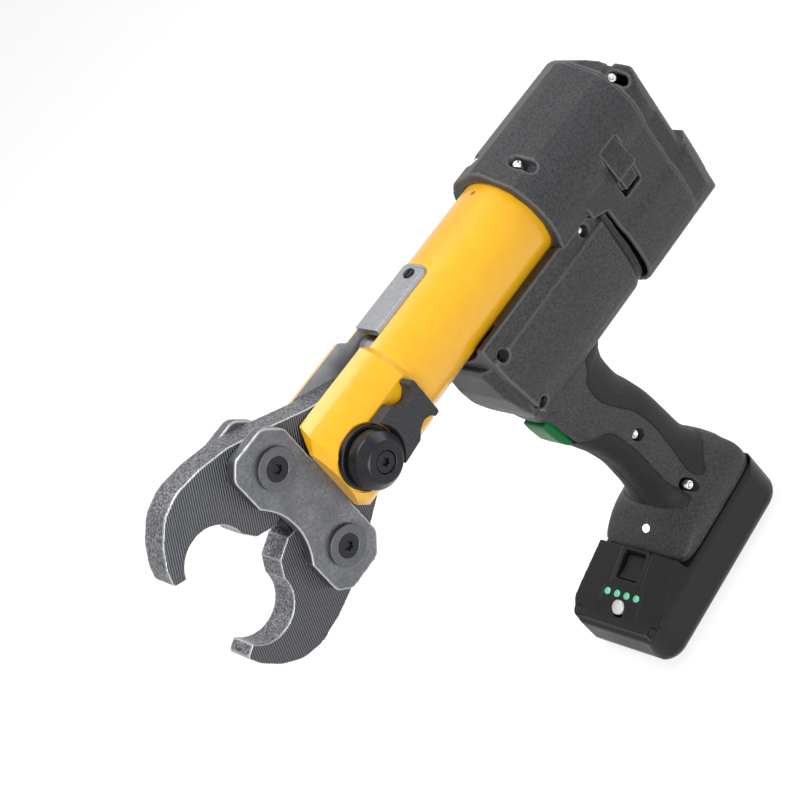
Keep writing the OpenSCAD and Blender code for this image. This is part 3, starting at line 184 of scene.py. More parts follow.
def milledSteel(name, **look):
    # forged steel whose flanks were milled in parallel passes that meet in a soft chevron;
    # "lean" turns the passes with the jaw
    material = grainySurface(name, **look)
    tree = material.node_tree
    shader = [n for n in tree.nodes if n.type == "BSDF_PRINCIPLED"][0]
    place = addNode(tree, "TexCoord")
    passes = []
    for across in look["across"]:
        turned = np.array([across[0], 0.0, across[1] * look["lean"]]) @ headTurn * 1000 / look["pitchMm"]
        dot = addNode(tree, "VectorMath", {1: turned.tolist()}, {0: place.outputs["Object"]},
                      operation="DOT_PRODUCT")
        passes.append(dot.outputs["Value"])
    fold = addNode(tree, "Math", links={0: passes[0], 1: passes[1]}, operation="MAXIMUM")
    turns = addNode(tree, "Math", {1: 2 * math.pi}, {0: fold.outputs[0]}, operation="MULTIPLY")
    wave = addNode(tree, "Math", links={0: turns.outputs[0]}, operation="SINE")
    ridge = addNode(tree, "MapRange", {"From Min": -1.0, "From Max": 1.0}, {"Value": wave.outputs[0]})
    # the flanks are the faces that look along y
    normal = addNode(tree, "SeparateXYZ", links={0: place.outputs["Normal"]})
    side = addNode(tree, "Math", links={0: normal.outputs["Y"]}, operation="ABSOLUTE")
    flank = addNode(tree, "MapRange", {"From Min": 0.9, "From Max": 0.97}, {"Value": side.outputs[0]})
    # painted bands: darker in the grooves and lighter on the crests, a painted shade and highlight that follow the
    # ridges' relief
    paintedBands = addNode(tree, "Mix", {6: look["groove"], 7: look["crest"]}, {0: ridge.outputs[0]},
                    data_type="RGBA")
    under = shader.inputs["Base Color"].links[0].from_socket
    skin = addNode(tree, "Mix", links={0: flank.outputs[0], 6: under, 7: paintedBands.outputs[2]}, data_type="RGBA")
    grain = shader.inputs["Normal"].links[0].from_node.inputs["Height"].links[0].from_socket
    fine = addNode(tree, "Math", {1: 0.25}, {0: grain}, operation="MULTIPLY")
    cut = addNode(tree, "Math", links={0: fine.outputs[0], 1: ridge.outputs[0]}, operation="ADD")
    height = addNode(tree, "Mix", links={0: flank.outputs[0], 2: grain, 3: cut.outputs[0]})
    relief = addNode(tree, "Bump", {"Strength": 1.0, "Distance": look["grainDepth"] / 1000},
                     {"Height": height.outputs[0]})
    feed(tree, shader, links={"Base Color": skin.outputs[2], "Normal": relief.outputs[0]})
    return material


def lampPlastic(name, colour, glow, strength, rough):
    # clear or tinted polycarbonate with a lamp behind it
    material, tree, where, shader = startMaterial(name)
    cloud = noiseFactor(tree, where, 2.0, 0.3, 0.7)
    tint = addNode(tree, "Mix", {6: colour, 7: glow}, {0: cloud}, data_type="RGBA")
    feed(tree, shader, {"Roughness": rough, "IOR": 1.58, "Emission Color": glow,
                        "Emission Strength": strength}, {"Base Color": tint.outputs[2]})
    return material


# what the housing's two nylons share, and what the two jaws share
# edge is the colour of the painted highlight along ridges and creases, edgeShare how much of it is laid on
nylonLook = {
    "speckMm": 1.3, "rough": 0.48, "grainMm": 1.3, "gleam": 0.24, "ior": 1.53, "edge": "#77777a",
    "edgeShare": 0.5,
}
jawLook = {
    "colour": "#35363a", "second": "#98999d", "worn": "#505155", "speckMm": 1.2,
    # edge and edgeShare: colour and share of the painted highlight along the jaws' ridges
    "cloudMm": 9, "cloudShare": 0.25, "rough": 0.42, "roughVary": 0.08, "metallic": 0.85, "edge": "#c3c4c7",
    "edgeShare": 0.75, "grainMm": 1.15, "grainDepth": 0.14,
    # groove and crest are the colours of the painted shade and highlight of the milled bands
    "pitchMm": 1.35, "groove": "#34353a", "crest": "#616266",
    # directions across the two runs of passes, forward and up in the head's frame
    "across": [(0.935, -0.355), (0.853, 0.522)],
}

# each material: the frame's nodes that it covers, and its look; sizes and depths are in millimetres
looks = {
    # signal yellow gloss enamel, sprayed and baked on steel: a smooth film with a faint orange peel
    "yellowEnamel": dict(nodes="press_cylinder", colour="#f7b710", second="#f9bc18", worn="#f1ab0a",
        speckMm=6, rough=0.34, roughVary=0.03, coat=0.35, coatRough=0.14, grainMm=3.2, grainDepth=0.006,
        ior=1.52),
    # glass-filled nylon, moulded in a spark-eroded tool: an even grain with paler specks
    "charcoalNylon": dict(nodes="housing_left housing_right hood", colour="#2c2c2e", second="#4a4a4c",
        worn="#343436", grainDepth=0.09, **nylonLook),
    # the same nylon in the rear and front covers, a shade darker
    "coverNylon": dict(nodes="rear_cover front_cover reset_lever trigger_switch motor_fan contact_block",
        colour="#29292b", second="#444446", worn="#303032", grainDepth=0.08, **nylonLook),
    # ABS blend of the battery case, moulded with a fine satin texture
    "batteryAbs": dict(nodes="battery_case battery_lid release_button", colour="#151516", second="#1e1e1f",
        worn="#181819", speckMm=0.9, rough=0.36, grainMm=0.8, grainDepth=0.02, gleam=0.22, ior=1.52),
    # thermoplastic elastomer of the soft grip, moulded over the shells: matt, with a stipple
    "softGrip": dict(nodes="grip_inlay_left grip_inlay_right", colour="#1f1f21", second="#2b2c2d",
        worn="#232425", speckMm=1.2, rough=0.6, grainMm=1.5, grainDepth=0.1, gleam=0.22),
    # black oxide on turned steel: dark and satin, with a little sheen of the metal
    "blackOxide": dict(nodes="holding_pin pin_knob knob_screw strip_screws battery_screws jaw_bolt_screws",
        colour="#26272a", second="#2d2e31", worn="#34353a", speckMm=1.5, rough=0.34, metallic=0.75,
        grainMm=0.6, grainDepth=0.006),
    # coarse glass-filled nylon of the lock lever: grey specks of fibre at the surface
    "leverNylon": dict(nodes="lock_lever", colour="#26272a", second="#3f4043", worn="#2f3033", speckMm=1.1,
        rough=0.46, grainMm=1.1, grainDepth=0.06, gleam=0.25, ior=1.53),
    # dark green nylon trigger, moulded smooth
    "greenNylon": dict(nodes="trigger", colour="#04652e", second="#076e34", worn="#045a29", speckMm=1.2,
        rough=0.4, grainMm=0.8, grainDepth=0.015, gleam=0.2, ior=1.53),
    # ground and blasted spring steel of the side plates: mottled satin grey, with a painted highlight along the
    # edges
    "plateSteel": dict(nodes="tong_plate_left tong_plate_right", colour="#66676b", second="#7d7e82",
        worn="#56575b", speckMm=1.4, cloudMm=11, cloudShare=0.6, rough=0.42, roughVary=0.08, metallic=0.85,
        grainMm=1.1, grainDepth=0.03, edge="#b9babd", edgeShare=0.8),
    # drop-forged tool steel, shot-blasted and phosphated: a coarse dark skin
    "forgedSteel": dict(nodes="roller_carrier", colour="#333437", second="#8d8e92", worn="#4c4d50",
        speckMm=1.25, cloudMm=9, cloudShare=0.25, rough=0.4, roughVary=0.1, metallic=0.85, grainMm=1.2,
        grainDepth=0.16),
    # forged jaws with milled flanks: fine ridges that catch the light in bands, painted darker in the grooves and
    # lighter on the crests, with a painted highlight along their edges
    "milledSteel": dict(jawLook, nodes="jaw_upper", lean=1),
    "milledSteelLower": dict(jawLook, nodes="jaw_lower", lean=-1),
    # turned steel of collars and screws in the tongs
    "collarSteel": dict(nodes="jaw_bolts jaw_bolt_caps tong_spring", colour="#595a5e", second="#68696d",
        worn="#4e4f53", speckMm=1.2, cloudMm=8, rough=0.34, metallic=0.9, grainMm=0.6, grainDepth=0.008),
    # machined bright steel: strips, piston, rollers, gears and the other machined insides
    "brightSteel": dict(
        nodes="slot_strip_top slot_strip_bottom rod_guide piston return_spring roller_axles "
              "roller_upper roller_lower pump_block motor_bearings drive_pinion gear_wheel "
              "eccentric_shaft motor_stator planet_case",
        colour="#a4a5a8", second="#b6b7ba", worn="#8f9093", speckMm=1.6, cloudMm=11, rough=0.3,
        metallic=0.95, grainMm=0.5, grainDepth=0.006),
    # milled steel of the fork's inner walls, bare and dull
    "milledWall": dict(colour="#cfd0d2", second="#e2e3e5", worn="#a2a3a7", speckMm=1.5, cloudMm=16,
        cloudShare=0.8, rough=0.38, metallic=0.2, grainMm=1.2, grainDepth=0.02),
    # zinc plated screws
    "zincPlate": dict(nodes="housing_screws hood_screws", colour="#d4d6d8", second="#e2e3e4",
        worn="#b9babc", speckMm=0.8, cloudMm=3, rough=0.22, metallic=1.0, grainMm=0.3, grainDepth=0.004),
    # cream sliding polymer of the swivel bush and the cell holder
    "slidingPolymer": dict(nodes="swivel_bush cell_holder", colour="#d3cfc0", second="#dcd8ca", speckMm=2,
        rough=0.5, grainMm=0.8, grainDepth=0.01),
    # nitrile rubber seal
    "nitrileRubber": dict(nodes="piston_seal", colour="#141415", second="#1b1b1c", speckMm=1, rough=0.6,
        grainMm=0.6, grainDepth=0.01),
    # enamelled copper of the rotor's winding
    "windingCopper": dict(nodes="motor_rotor", colour="#8c4f28", second="#a5622f", speckMm=1.1, rough=0.35,
        metallic=0.8, grainMm=0.7, grainDepth=0.03),
    # solder mask on the control board
    "solderMask": dict(nodes="control_board", colour="#16532f", second="#1b6038", speckMm=3, rough=0.35,
        grainMm=1.5, grainDepth=0.01),
    # shrink sleeve on the cells
    "shrinkSleeve": dict(nodes="battery_cells", colour="#2f66a8", second="#386fb0", speckMm=6, rough=0.3,
        grainMm=4, grainDepth=0.01),
    # stamped brass contacts
    "stampedBrass": dict(nodes="battery_terminals", colour="#c8a250", second="#d2ad5c", speckMm=2,
        rough=0.3, metallic=1.0, grainMm=0.8, grainDepth=0.006),
    # cast and machined aluminium of the gear plate
    "castAluminium": dict(nodes="gear_plate", colour="#a3a5a7", second="#b0b1b3", speckMm=1.4, rough=0.42,
        metallic=0.9, grainMm=0.9, grainDepth=0.03),
    # white ABS of the check button, moulded glossy
    "whiteAbs": dict(nodes="check_button", colour="#eceeec", second="#f2f3f2", worn="#e4e6e4", speckMm=2,
        rough=0.3, grainMm=1.2, grainDepth=0.004, ior=1.53),
}
finish = {}
materialOf = {}


def useMaterial(name, material, nodes):
    # keeps a material by its name and gives it to nodes of the frame
    finish[name] = material
    for nodeName in nodes.split():
        materialOf[nodeName] = name
        holder = frame["nodes"][nodeName]
        holder.data.materials.clear()
        holder.data.materials.append(material)


for name, look in looks.items():
    surface = milledSteel if "lean" in look else grainySurface
    useMaterial(name, surface(name, **look), look.get("nodes", ""))
useMaterial("workLampLens", lampPlastic("workLampLens", "#f4f6fa", "#ffffff", 2.2, 0.12), "work_lamp")
useMaterial("mintLens", lampPlastic("mintLens", "#57c796", "#6fd6a8", 0.25, 0.25), "charge_lamps")
print("materials made and given to the frame's nodes")

bodyOf = {n: b for b, members in frame["record"]["behaviour"]["bodies"].items() for n in members}


# Pieces
def linkMesh(name, mesh, material):
    piece = bpy.data.objects.new(name, mesh)
    bpy.context.scene.collection.objects.link(piece)
    mesh.materials.clear()
    mesh.materials.append(finish[material])
    return piece


def meshPiece(name, points, faces, material, smooth=True):
    # points in metres as an array of rows, faces as lists of point numbers
    mesh = bpy.data.meshes.new(name)
    mesh.from_pydata(np.asarray(points, float).reshape(-1, 3).tolist(), [], [list(f) for f in faces])
    mesh.validate()
    mesh.polygons.foreach_set("use_smooth", np.full(len(mesh.polygons), smooth))
    mesh.update()
    return linkMesh(name, mesh, material)


def gridFaces(rows, cols, closed=False):
    # quads of a grid of rows by cols points, closed round the columns where asked
    i, j = np.meshgrid(np.arange(rows - 1), np.arange(cols if closed else cols - 1), indexing="ij")
    a = i * cols + j
    b = i * cols + (j + 1) % cols
    return np.stack([a, b, b + cols, a + cols], -1).reshape(-1, 4).tolist()


def outward(piece):
    # makes the faces of a closed piece point out, after its doubles are merged
    work = bmesh.new()
    work.from_mesh(piece.data)
    bmesh.ops.remove_doubles(work, verts=work.verts, dist=1e-6)
    bmesh.ops.recalc_face_normals(work, faces=work.faces)
    work.to_mesh(piece.data)
    work.free()
    return piece


def settle(piece, node, *others):
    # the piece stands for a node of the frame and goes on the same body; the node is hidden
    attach(piece, bodyOf[node])
    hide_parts(node, *others)


def addModifier(piece, kind, **settings):
    modifier = piece.modifiers.new(kind.title(), kind)
    for key, value in settings.items():
        setattr(modifier, key, value)
    return modifier


def applyModifiers(piece):
    graph = bpy.context.evaluated_depsgraph_get()
    finished = bpy.data.meshes.new_from_object(piece.evaluated_get(graph))
    piece.modifiers.clear()
    piece.data = finished
    return piece


def boxCutter(low, high, place):
    # eight corners of a box between two corners given in millimetres
    corners = [[x, y, z] for x in (low[0], high[0]) for y in (low[1], high[1]) for z in (low[2], high[2])]
    faces = [(0, 1, 3, 2), (4, 6, 7, 5), (0, 4, 5, 1), (2, 3, 7, 6), (0, 2, 6, 4), (1, 5, 7, 3)]
    return outward(meshPiece("cutter", place(corners), faces, "charcoalNylon", False))


def prismCutter(outline, direction, place):
    # an outline of points in millimetres, carried along a direction
    points = np.array(outline, float)
    count = len(points)
    both = np.vstack([points, points + np.array(direction, float)])
    faces = [(i, (i + 1) % count, (i + 1) % count + count, i + count) for i in range(count)]
    faces += [tuple(range(count))[::-1], tuple(range(count, 2 * count))]
    return outward(meshPiece("cutter", place(both), faces, "charcoalNylon", False))


def cutAway(piece, cutters, operation="DIFFERENCE"):
    for cutter in cutters:
        modifier = addModifier(piece, "BOOLEAN", operation=operation, solver="EXACT")
        modifier.object = cutter
    applyModifiers(piece)
    for cutter in cutters:
        bpy.data.objects.remove(cutter)
    return piece


def mergedCopy(name, node):
    # a copy of the node's mesh with its loose triangles merged and its flat faces joined up
    mesh = frame["nodes"][node].data.copy()
    work = bmesh.new()
    work.from_mesh(mesh)
    bmesh.ops.remove_doubles(work, verts=work.verts, dist=2e-5)
    bmesh.ops.dissolve_degenerate(work, edges=work.edges, dist=1e-5)
    bmesh.ops.dissolve_limit(work, angle_limit=math.radians(0.6), verts=work.verts, edges=work.edges)
    for face in work.faces:
        face.smooth = True
    work.to_mesh(mesh)
    work.free()
    if "custom_normal" in mesh.attributes:
        mesh.attributes.remove(mesh.attributes["custom_normal"])
    return linkMesh(name, mesh, materialOf[node])


def roundedEdges(piece, width, angle=28, segments=3):
    # width in millimetres of the bevel on each edge that turns by more than the angle
    addModifier(piece, "BEVEL", width=width / 1000, segments=segments, limit_method="ANGLE",
                angle_limit=math.radians(angle), use_clamp_overlap=True, miter_outer="MITER_ARC",
                harden_normals=False)
    addModifier(piece, "WEIGHTED_NORMAL", keep_sharp=True, weight=80)
    return applyModifiers(piece)


def readRows(items, key):
    # a vector of each vertex or face, as an array of rows
    flat = np.zeros(len(items) * 3, np.float32)
    items.foreach_get(key, flat)
    return flat.reshape(-1, 3)


def pointsOf(piece):
    return readRows(piece.data.vertices, "co").astype(float)


def movePoints(piece, points):
    piece.data.vertices.foreach_set("co", points.astype(np.float32).ravel())
    piece.data.update()


def paint(piece, name, values):
    # a number at each point, kept on the piece for its material
    layer = piece.data.attributes.get(name) or piece.data.attributes.new(name, "FLOAT", "POINT")
    layer.data.foreach_set("value", values.astype(np.float32))


def paintRidgeHighlight(piece, low=0.07, high=0.3, passes=2):
    # bend of the skin at each point, per millimetre: twice the fall below the tangent plane over the
    # squared distance, averaged over the edges that meet there; ridges past low get a painted highlight, full at
    # high
    points = pointsOf(piece) * 1000
    count = len(points)
    normals = readRows(piece.data.vertices, "normal")
    ends = np.zeros(len(piece.data.edges) * 2, np.int32)
    piece.data.edges.foreach_get("vertices", ends)
    a, b = ends.reshape(-1, 2).T
    run = points[b] - points[a]
    square = np.maximum((run ** 2).sum(1), 1e-9)
    number = np.bincount(a, minlength=count) + np.bincount(b, minlength=count) + 1e-9
    bend = (np.bincount(a, -2 * (normals[a] * run).sum(1) / square, count)
            + np.bincount(b, 2 * (normals[b] * run).sum(1) / square, count)) / number
    for _ in range(passes):
        bend = (bend + (np.bincount(a, bend[b], count) + np.bincount(b, bend[a], count)) / number) / 2
    # the attribute is the share of painted highlight at each point
    paint(piece, "ridgeHighlight", np.clip((bend - low) / (high - low), 0, 1))
    return piece


def redrawn(piece, drawn):
    # moves the points by a function that works in millimetres of the head's frame
    points = (pointsOf(piece) - headOrigin) @ headTurn.T * 1000
    movePoints(piece, fromHead(drawn(points)))
    return paintRidgeHighlight(piece)


def softForm(piece, step, rounds):
    # a moulding with eased edges: its skin is laid again in even steps, in millimetres, and evened out
    addModifier(piece, "REMESH", mode="VOXEL", voxel_size=step / 1000, use_smooth_shade=True)
    if rounds:
        addModifier(piece, "SMOOTH", factor=0.5, iterations=rounds)
    return paintRidgeHighlight(applyModifiers(piece))


def settleSoft(piece, look, drawn, node):
    # a soft form with its own step and rounds, redrawn and put in the node's place
    settle(redrawn(softForm(piece, look["step"], look["rounds"]), drawn), node)


def joinPieces(name, pieces, material):
    # one mesh that holds several, which a soft form then melts together
    work = bmesh.new()
    for piece in pieces:
        work.from_mesh(piece.data)
        bpy.data.objects.remove(piece)
    mesh = bpy.data.meshes.new(name)
    work.to_mesh(mesh)
    work.free()
    return linkMesh(name, mesh, material)


def turnedPiece(name, profile, start, axis, place, material, count=96):
    # a profile of (radius, height) in millimetres, turned about an axis through the start
    outline = np.array(profile, float)
    along = np.array(axis, float) / np.linalg.norm(axis)
    first = np.cross(along, [0.31, 0.5, 0.81])
    first /= np.linalg.norm(first)
    turn = np.linspace(0, 2 * math.pi, count + 1)[:, None, None]
    spoke = np.cos(turn) * first + np.sin(turn) * np.cross(along, first)
    ring = np.array(start) + outline[:, :1] * spoke + outline[:, 1:] * along
    faces = gridFaces(count + 1, len(outline), True)
    return outward(meshPiece(name, place(ring.reshape(-1, 3)), faces, material))


def smoothThrough(places, values, at):
    # cubic through the values, with the slope at each place the harmonic mean of its two sides,
    # or level where they turn, so that it never overshoots
    places, values = np.asarray(places, float), np.asarray(values, float)
    step = np.diff(places)
    rise = np.diff(values, axis=0) / step[:, None]
    same = rise[:-1] * rise[1:] > 0
    mean = np.where(same, 2 * rise[:-1] * rise[1:] / np.where(same, rise[:-1] + rise[1:], 1), 0)
    slope = np.vstack([rise[:1], mean, rise[-1:]])
    k = np.clip(np.searchsorted(places, at, side="right") - 1, 0, len(places) - 2)
    t = ((at - places[k]) / step[k])[..., None]
    h = step[k][..., None]
    return ((2 * t ** 3 - 3 * t ** 2 + 1) * values[k] + (t ** 3 - 2 * t ** 2 + t) * h * slope[k]
            + (3 * t ** 2 - 2 * t ** 3) * values[k + 1] + (t ** 3 - t ** 2) * h * slope[k + 1])


def curveThrough(points, count):
    # smooth open curve through points, by Catmull and Rom's rule, in even steps along it
    p = np.asarray(points, float)
    p = np.vstack([2 * p[0] - p[1], p, 2 * p[-1] - p[-2]])
    t = np.linspace(0, len(p) - 3 - 1e-9, count * 4)
    k, u = t.astype(int), (t % 1)[:, None]
    a, b, c, d = p[k], p[k + 1], p[k + 2], p[k + 3]
    line = 0.5 * (2 * b + (c - a) * u + (2 * a - 5 * b + 4 * c - d) * u ** 2
                  + (3 * b - a - 3 * c + d) * u ** 3)
    along = np.concatenate([[0], np.cumsum(np.linalg.norm(np.diff(line, axis=0), axis=1))])
    even = np.linspace(0, along[-1], count)
    return np.stack([np.interp(even, along, line[:, i]) for i in range(line.shape[1])], 1)


def distanceTo(points, line):
    # least distance from each point to a run of straight pieces
    best = np.full(points.shape[:-1], 1e9)
    for a, b in zip(line[:-1], line[1:]):
        run = b - a
        share = np.clip(((points - a) @ run) / max(run @ run, 1e-12), 0, 1)[..., None]
        best = np.minimum(best, np.linalg.norm(points - a - share * run, axis=-1))
    return best


def isInside(x, z, outline):
    # even and odd rule: a point is inside where a line from it crosses the outline an odd number of times
    odd = np.zeros(x.shape, bool)
    for (x0, z0), (x1, z1) in zip(outline, np.roll(outline, -1, axis=0)):
        if z0 != z1:
            odd ^= ((z0 > z) != (z1 > z)) & (x < (x1 - x0) * (z - z0) / (z1 - z0) + x0)
    return odd


# Grip and foot: a column whose section is a superellipse, squarer and wider towards the battery
handle = {
    # height, centre forward, half length, half width, squareness
    "stations": [(37.9, -24.3, 41.2, 34.4, 7.0), (41.2, -24.3, 41.2, 34.4, 7.0),
        (42.2, -24.3, 41.2, 35.6, 7.0), (45, -26.3, 39.2, 35.6, 7.0), (48, -29.25, 36.25, 35.3, 6.5),
        (50.5, -31.65, 33.85, 34.0, 6.0), (53.5, -33.7, 31.5, 30.6, 4.8), (57.5, -35.3, 29.9, 25.6, 3.8),
        (61.5, -35.1, 28.5, 22.8, 3.2), (66, -33.4, 26.4, 21.7, 2.8), (72, -32.4, 24.9, 21.3, 2.6),
        (82, -31.2, 23.4, 21.0, 2.45), (98, -30.4, 23.0, 20.9, 2.4), (116, -27.8, 24.0, 20.9, 2.4),
        (130, -23.8, 25.0, 20.9, 2.4), (148, -18.4, 26.0, 20.9, 2.5), (162, -17.6, 27.0, 21.3, 2.5),
        (171, -18.2, 30.0, 22.2, 2.5), (177, -19.6, 33.4, 23.6, 2.6), (183, -20.6, 35.6, 24.6, 2.6)],
    "rows": 250, "columns": 170,
    # seamPaint is the width in millimetres of the painted shade in the groove
    "seamDepth": 0.5, "seamWidth": 0.4, "seamPaint": 0.45,  # groove round the soft pads
    "padRise": 0.3, "padEase": 1.3, "riseMost": 0.29,
    "parting": 0.1, "partingDepth": 0.35, "partingWidth": 0.4,  # groove in the middle plane
    "wallNear": 0.12, "wallArea": 30,  # faces this near the middle, or larger in mm2, are no skin
    # outlines of the soft pads seen from the side, forward and up
    "rearPad": [(-27.0, 181), (-24.5, 174.5), (-19.9, 169), (-18.6, 160), (-19.6, 151), (-24.6, 139.5),
        (-31, 126.6), (-33.6, 114), (-34.4, 102.4), (-33.6, 86), (-32.0, 71.5), (-32.4, 62), (-35.4, 57.6),
        (-40.5, 58.2), (-46, 62.4), (-56, 65), (-75, 66)],
    "frontPad": [(22, 148.5), (7, 143.2), (-1, 137.2), (-8.6, 134.2), (-12.2, 129.5), (-14.4, 120),
        (-16.8, 104), (-17.1, 86), (-17.6, 71.5), (-20.2, 60), (-18.4, 55.9), (-11.8, 56.4), (-6, 59.5),
        (10, 62)],
}
heights, sections = np.array(handle["stations"])[:, 0], np.array(handle["stations"])[:, 1:]


def handleSurface(angle, height):
    # point of the superellipse |x/a|^n + |y/b|^n = 1 in the direction of the angle, at each height
    centre, a, b, n = np.moveaxis(smoothThrough(heights, sections, height), -1, 0)
    reach = (np.abs(np.cos(angle) / a) ** n + np.abs(np.sin(angle) / b) ** n) ** (-1 / n)
    return np.stack([centre + reach * np.cos(angle), reach * np.sin(angle), height + 0 * angle], -1)


def ontoHandle(outline):
    # lifts an outline seen from the side onto the handle's left flank
    x, z = outline[:, 0], outline[:, 1]
    centre, a, b, n = smoothThrough(heights, sections, np.clip(z, heights[0], heights[-1])).T
    share = np.clip(np.abs((x - centre) / a), 0, 1)
    return np.stack([np.clip(x, centre - a, centre + a), b * (1 - share ** n) ** (1 / n), z], 1)


padOutlines = {name: curveThrough(handle[name], 110) for name in ("rearPad", "frontPad")}
padSeams = {name: ontoHandle(outline) for name, outline in padOutlines.items()}
padRegions = {"rearPad": np.vstack([padOutlines["rearPad"], [(-90, 66), (-90, 181)]]),
              "frontPad": np.vstack([padOutlines["frontPad"], [(40, 62), (40, 148.5)]])}


def seamDistance(points):
    # millimetres from each point to the nearest seam of a soft pad, either side of the handle alike
    left = points * [1, 0, 1] + np.abs(points) * [0, 1, 0]
    return np.minimum(distanceTo(left, padSeams["rearPad"]), distanceTo(left, padSeams["frontPad"]))


def inPad(points):
    x, z = points[..., 0], points[..., 2]
    return isInside(x, z, padRegions["rearPad"]) | isInside(x, z, padRegions["frontPad"])


def handleHalf(side):
    # half a column, closed by a flat wall near the middle plane and by its two ends
    rows, columns = handle["rows"], handle["columns"]
    height = np.linspace(heights[0], heights[-1], rows)[:, None]
    angle = np.linspace(0, math.pi, columns)[None, :]
    height, angle = np.broadcast_arrays(height, angle)
    points = handleSurface(angle, height)
    along = np.gradient(points, axis=0)
    around = np.gradient(points, axis=1)
    normal = np.cross(around, along)
    normal /= np.linalg.norm(normal, axis=-1, keepdims=True)
    gap = seamDistance(points)
    rise = np.where(inPad(points), handle["padRise"] * (1 - np.exp(-(gap / handle["padEase"]) ** 2)), 0)
    rise = rise - handle["seamDepth"] * np.exp(-(gap / handle["seamWidth"]) ** 2)
    rise = rise - handle["partingDepth"] * np.exp(-(points[..., 1] / handle["partingWidth"]) ** 2)
    points = points + normal * np.minimum(rise, handle["riseMost"])[..., None]
    points[..., 1] = np.maximum(points[..., 1], 0) + handle["parting"]
    faces = gridFaces(rows, columns)
    last = (rows - 1) * columns
    faces += [(i * columns, (i + 1) * columns, (i + 2) * columns - 1, (i + 1) * columns - 1)
              for i in range(rows - 1)]
    faces += [tuple(range(columns)), tuple(range(last + columns - 1, last - 1, -1))]
    points = points * [1, side, 1]
    return outward(meshPiece("handle", fromFoot(points.reshape(-1, 3)), faces, "charcoalNylon"))


trigger = {
    "pocketLow": (-1, -10.6, 141.4), "pocketHigh": (40, 10.6, 168.8),  # its well in the grip
    "top": 171.4, "rear": 6.9,  # what lies above or behind is cut away
    "slim": 0.72, "lower": 3.5, "back": 2.4, "step": 0.6, "rounds": 16,
}
# the screws stand in slots: start of each slot forward, up and across, its run, and how deep its head is
gripScrews = {
    "places": [(-23.5, 113.4, 10.0), (-25.7, 59.7, 13.0)], "pocket": 3.9, "slips": [(0.8, 1.2), (1.8, 3.2)],
    "heads": [16.6, 24.6],
}
slotReach = 20  # how far outward a slot is cut, in millimetres


def obround(centre, radius, slip, count=24):
    # outline in the plane across y: a slot between the centre and the centre moved by the slip
    slip = np.array([slip[0], 0, slip[1]], float)
    lean = math.atan2(slip[2], slip[0])
    turn = lean + math.pi / 2 + np.linspace(0, math.pi, count)
    ends = [np.stack([np.cos(t), 0 * t, np.sin(t)], 1) * radius for t in (turn, turn + math.pi)]
    return np.vstack([np.array(centre) + ends[0], np.array(centre) + slip + ends[1]])


def splitPads(piece, names):
    # parts the soft pads' faces from the shell's, along the middle of the grooves
    work = bmesh.new()
    work.from_mesh(piece.data)
    centres = np.array([f.calc_center_median() for f in work.faces]) * 1000
    small = np.array([f.calc_area() for f in work.faces]) * 1e6 < handle["wallArea"]
    pads = inPad(centres) & small & (np.abs(centres[:, 1]) > handle["wallNear"])
    work.free()
    made = []
    for name, keep, material in ((names[0], ~pads, "charcoalNylon"), (names[1], pads, "softGrip")):
        copy = bmesh.new()
        copy.from_mesh(piece.data)
        copy.faces.ensure_lookup_table()
        bmesh.ops.delete(copy, geom=[f for f, k in zip(copy.faces, keep) if not k], context="FACES")
        mesh = bpy.data.meshes.new(name)
        copy.to_mesh(mesh)
        copy.free()
        part = linkMesh(name, mesh, material)
        # the seam attribute paints shade into the groove round the soft pads
        paint(part, "seam", np.exp(-(seamDistance(pointsOf(part) * 1000) / handle["seamPaint"]) ** 4))
        made.append(part)
    bpy.data.objects.remove(piece)
    return made


def makeHandle():
    for side, left in ((1, True), (-1, False)):
        piece = handleHalf(side)
        cutters = [boxCutter(trigger["pocketLow"], trigger["pocketHigh"], fromFoot)]
        if left:
            for (x, z, y), slip in zip(gripScrews["places"], gripScrews["slips"]):
                ring = obround((x, y, z), gripScrews["pocket"], slip)
                cutters.append(prismCutter(ring, (0, slotReach, 0), fromFoot))
        cutAway(piece, cutters)
        ending = "left" if left else "right"
        shell, pad = splitPads(piece, ("handle" + ending.title(), "softGrip" + ending.title()))
        settle(shell, "housing_" + ending)
        settle(pad, "grip_inlay_" + ending)


makeHandle()
print("handle made")

# The motor housing is the frame's own shell above the plane where the grip starts
barrel = {
    "floor": -85.7, "step": 0.8, "rounds": 2,
    # section of the frame's own shell
    "half": 33.0, "cornerTop": -69.0, "corner": 17.0, "cornerKept": 0.4, "bottom": -86.0,
    "crownTop": -31.0, "squareness": 4.2, "dropMost": 0.985,  # below this height it is a superellipse
    "endFrom": -190.5, "endLength": 5.0, "endShare": 0.1,  # the rear end, along the tool
    "ledge": -28.3, "ledgeDepth": 0.8, "ledgeEase": 0.5, "outer": 30.4,  # the rim above stands back
}


def crownedBarrel(points):
    # draws the flanks in, by the ratio of a superellipse to the frame's flat flank with its round corner
    z = points[:, 2]
    drop = np.clip((barrel["crownTop"] - z) / (barrel["crownTop"] - barrel["bottom"]), 0, barrel["dropMost"])
    crown = barrel["half"] * (1 - drop ** barrel["squareness"]) ** (1 / barrel["squareness"])
    low = np.clip(barrel["cornerTop"] - z, 0, barrel["corner"] - barrel["cornerKept"])
    plain = barrel["half"] - barrel["corner"] + np.sqrt(barrel["corner"] ** 2 - low ** 2)
    moved = points.copy()
    moved[:, 1] *= np.minimum(crown / plain, 1)
    outer = np.clip(np.abs(points[:, 1]) - barrel["outer"], 0, 1)
    back = outer * np.clip((z - barrel["ledge"]) / barrel["ledgeEase"], 0, 1) * barrel["ledgeDepth"]
    moved[:, 1] -= np.sign(points[:, 1]) * back
    # the rear end draws in under the hood's lip
    past = np.clip((barrel["endFrom"] - points[:, 0]) / barrel["endLength"], 0, 1)
    moved[:, 1] *= 1 - barrel["endShare"] * past ** 2
    return moved


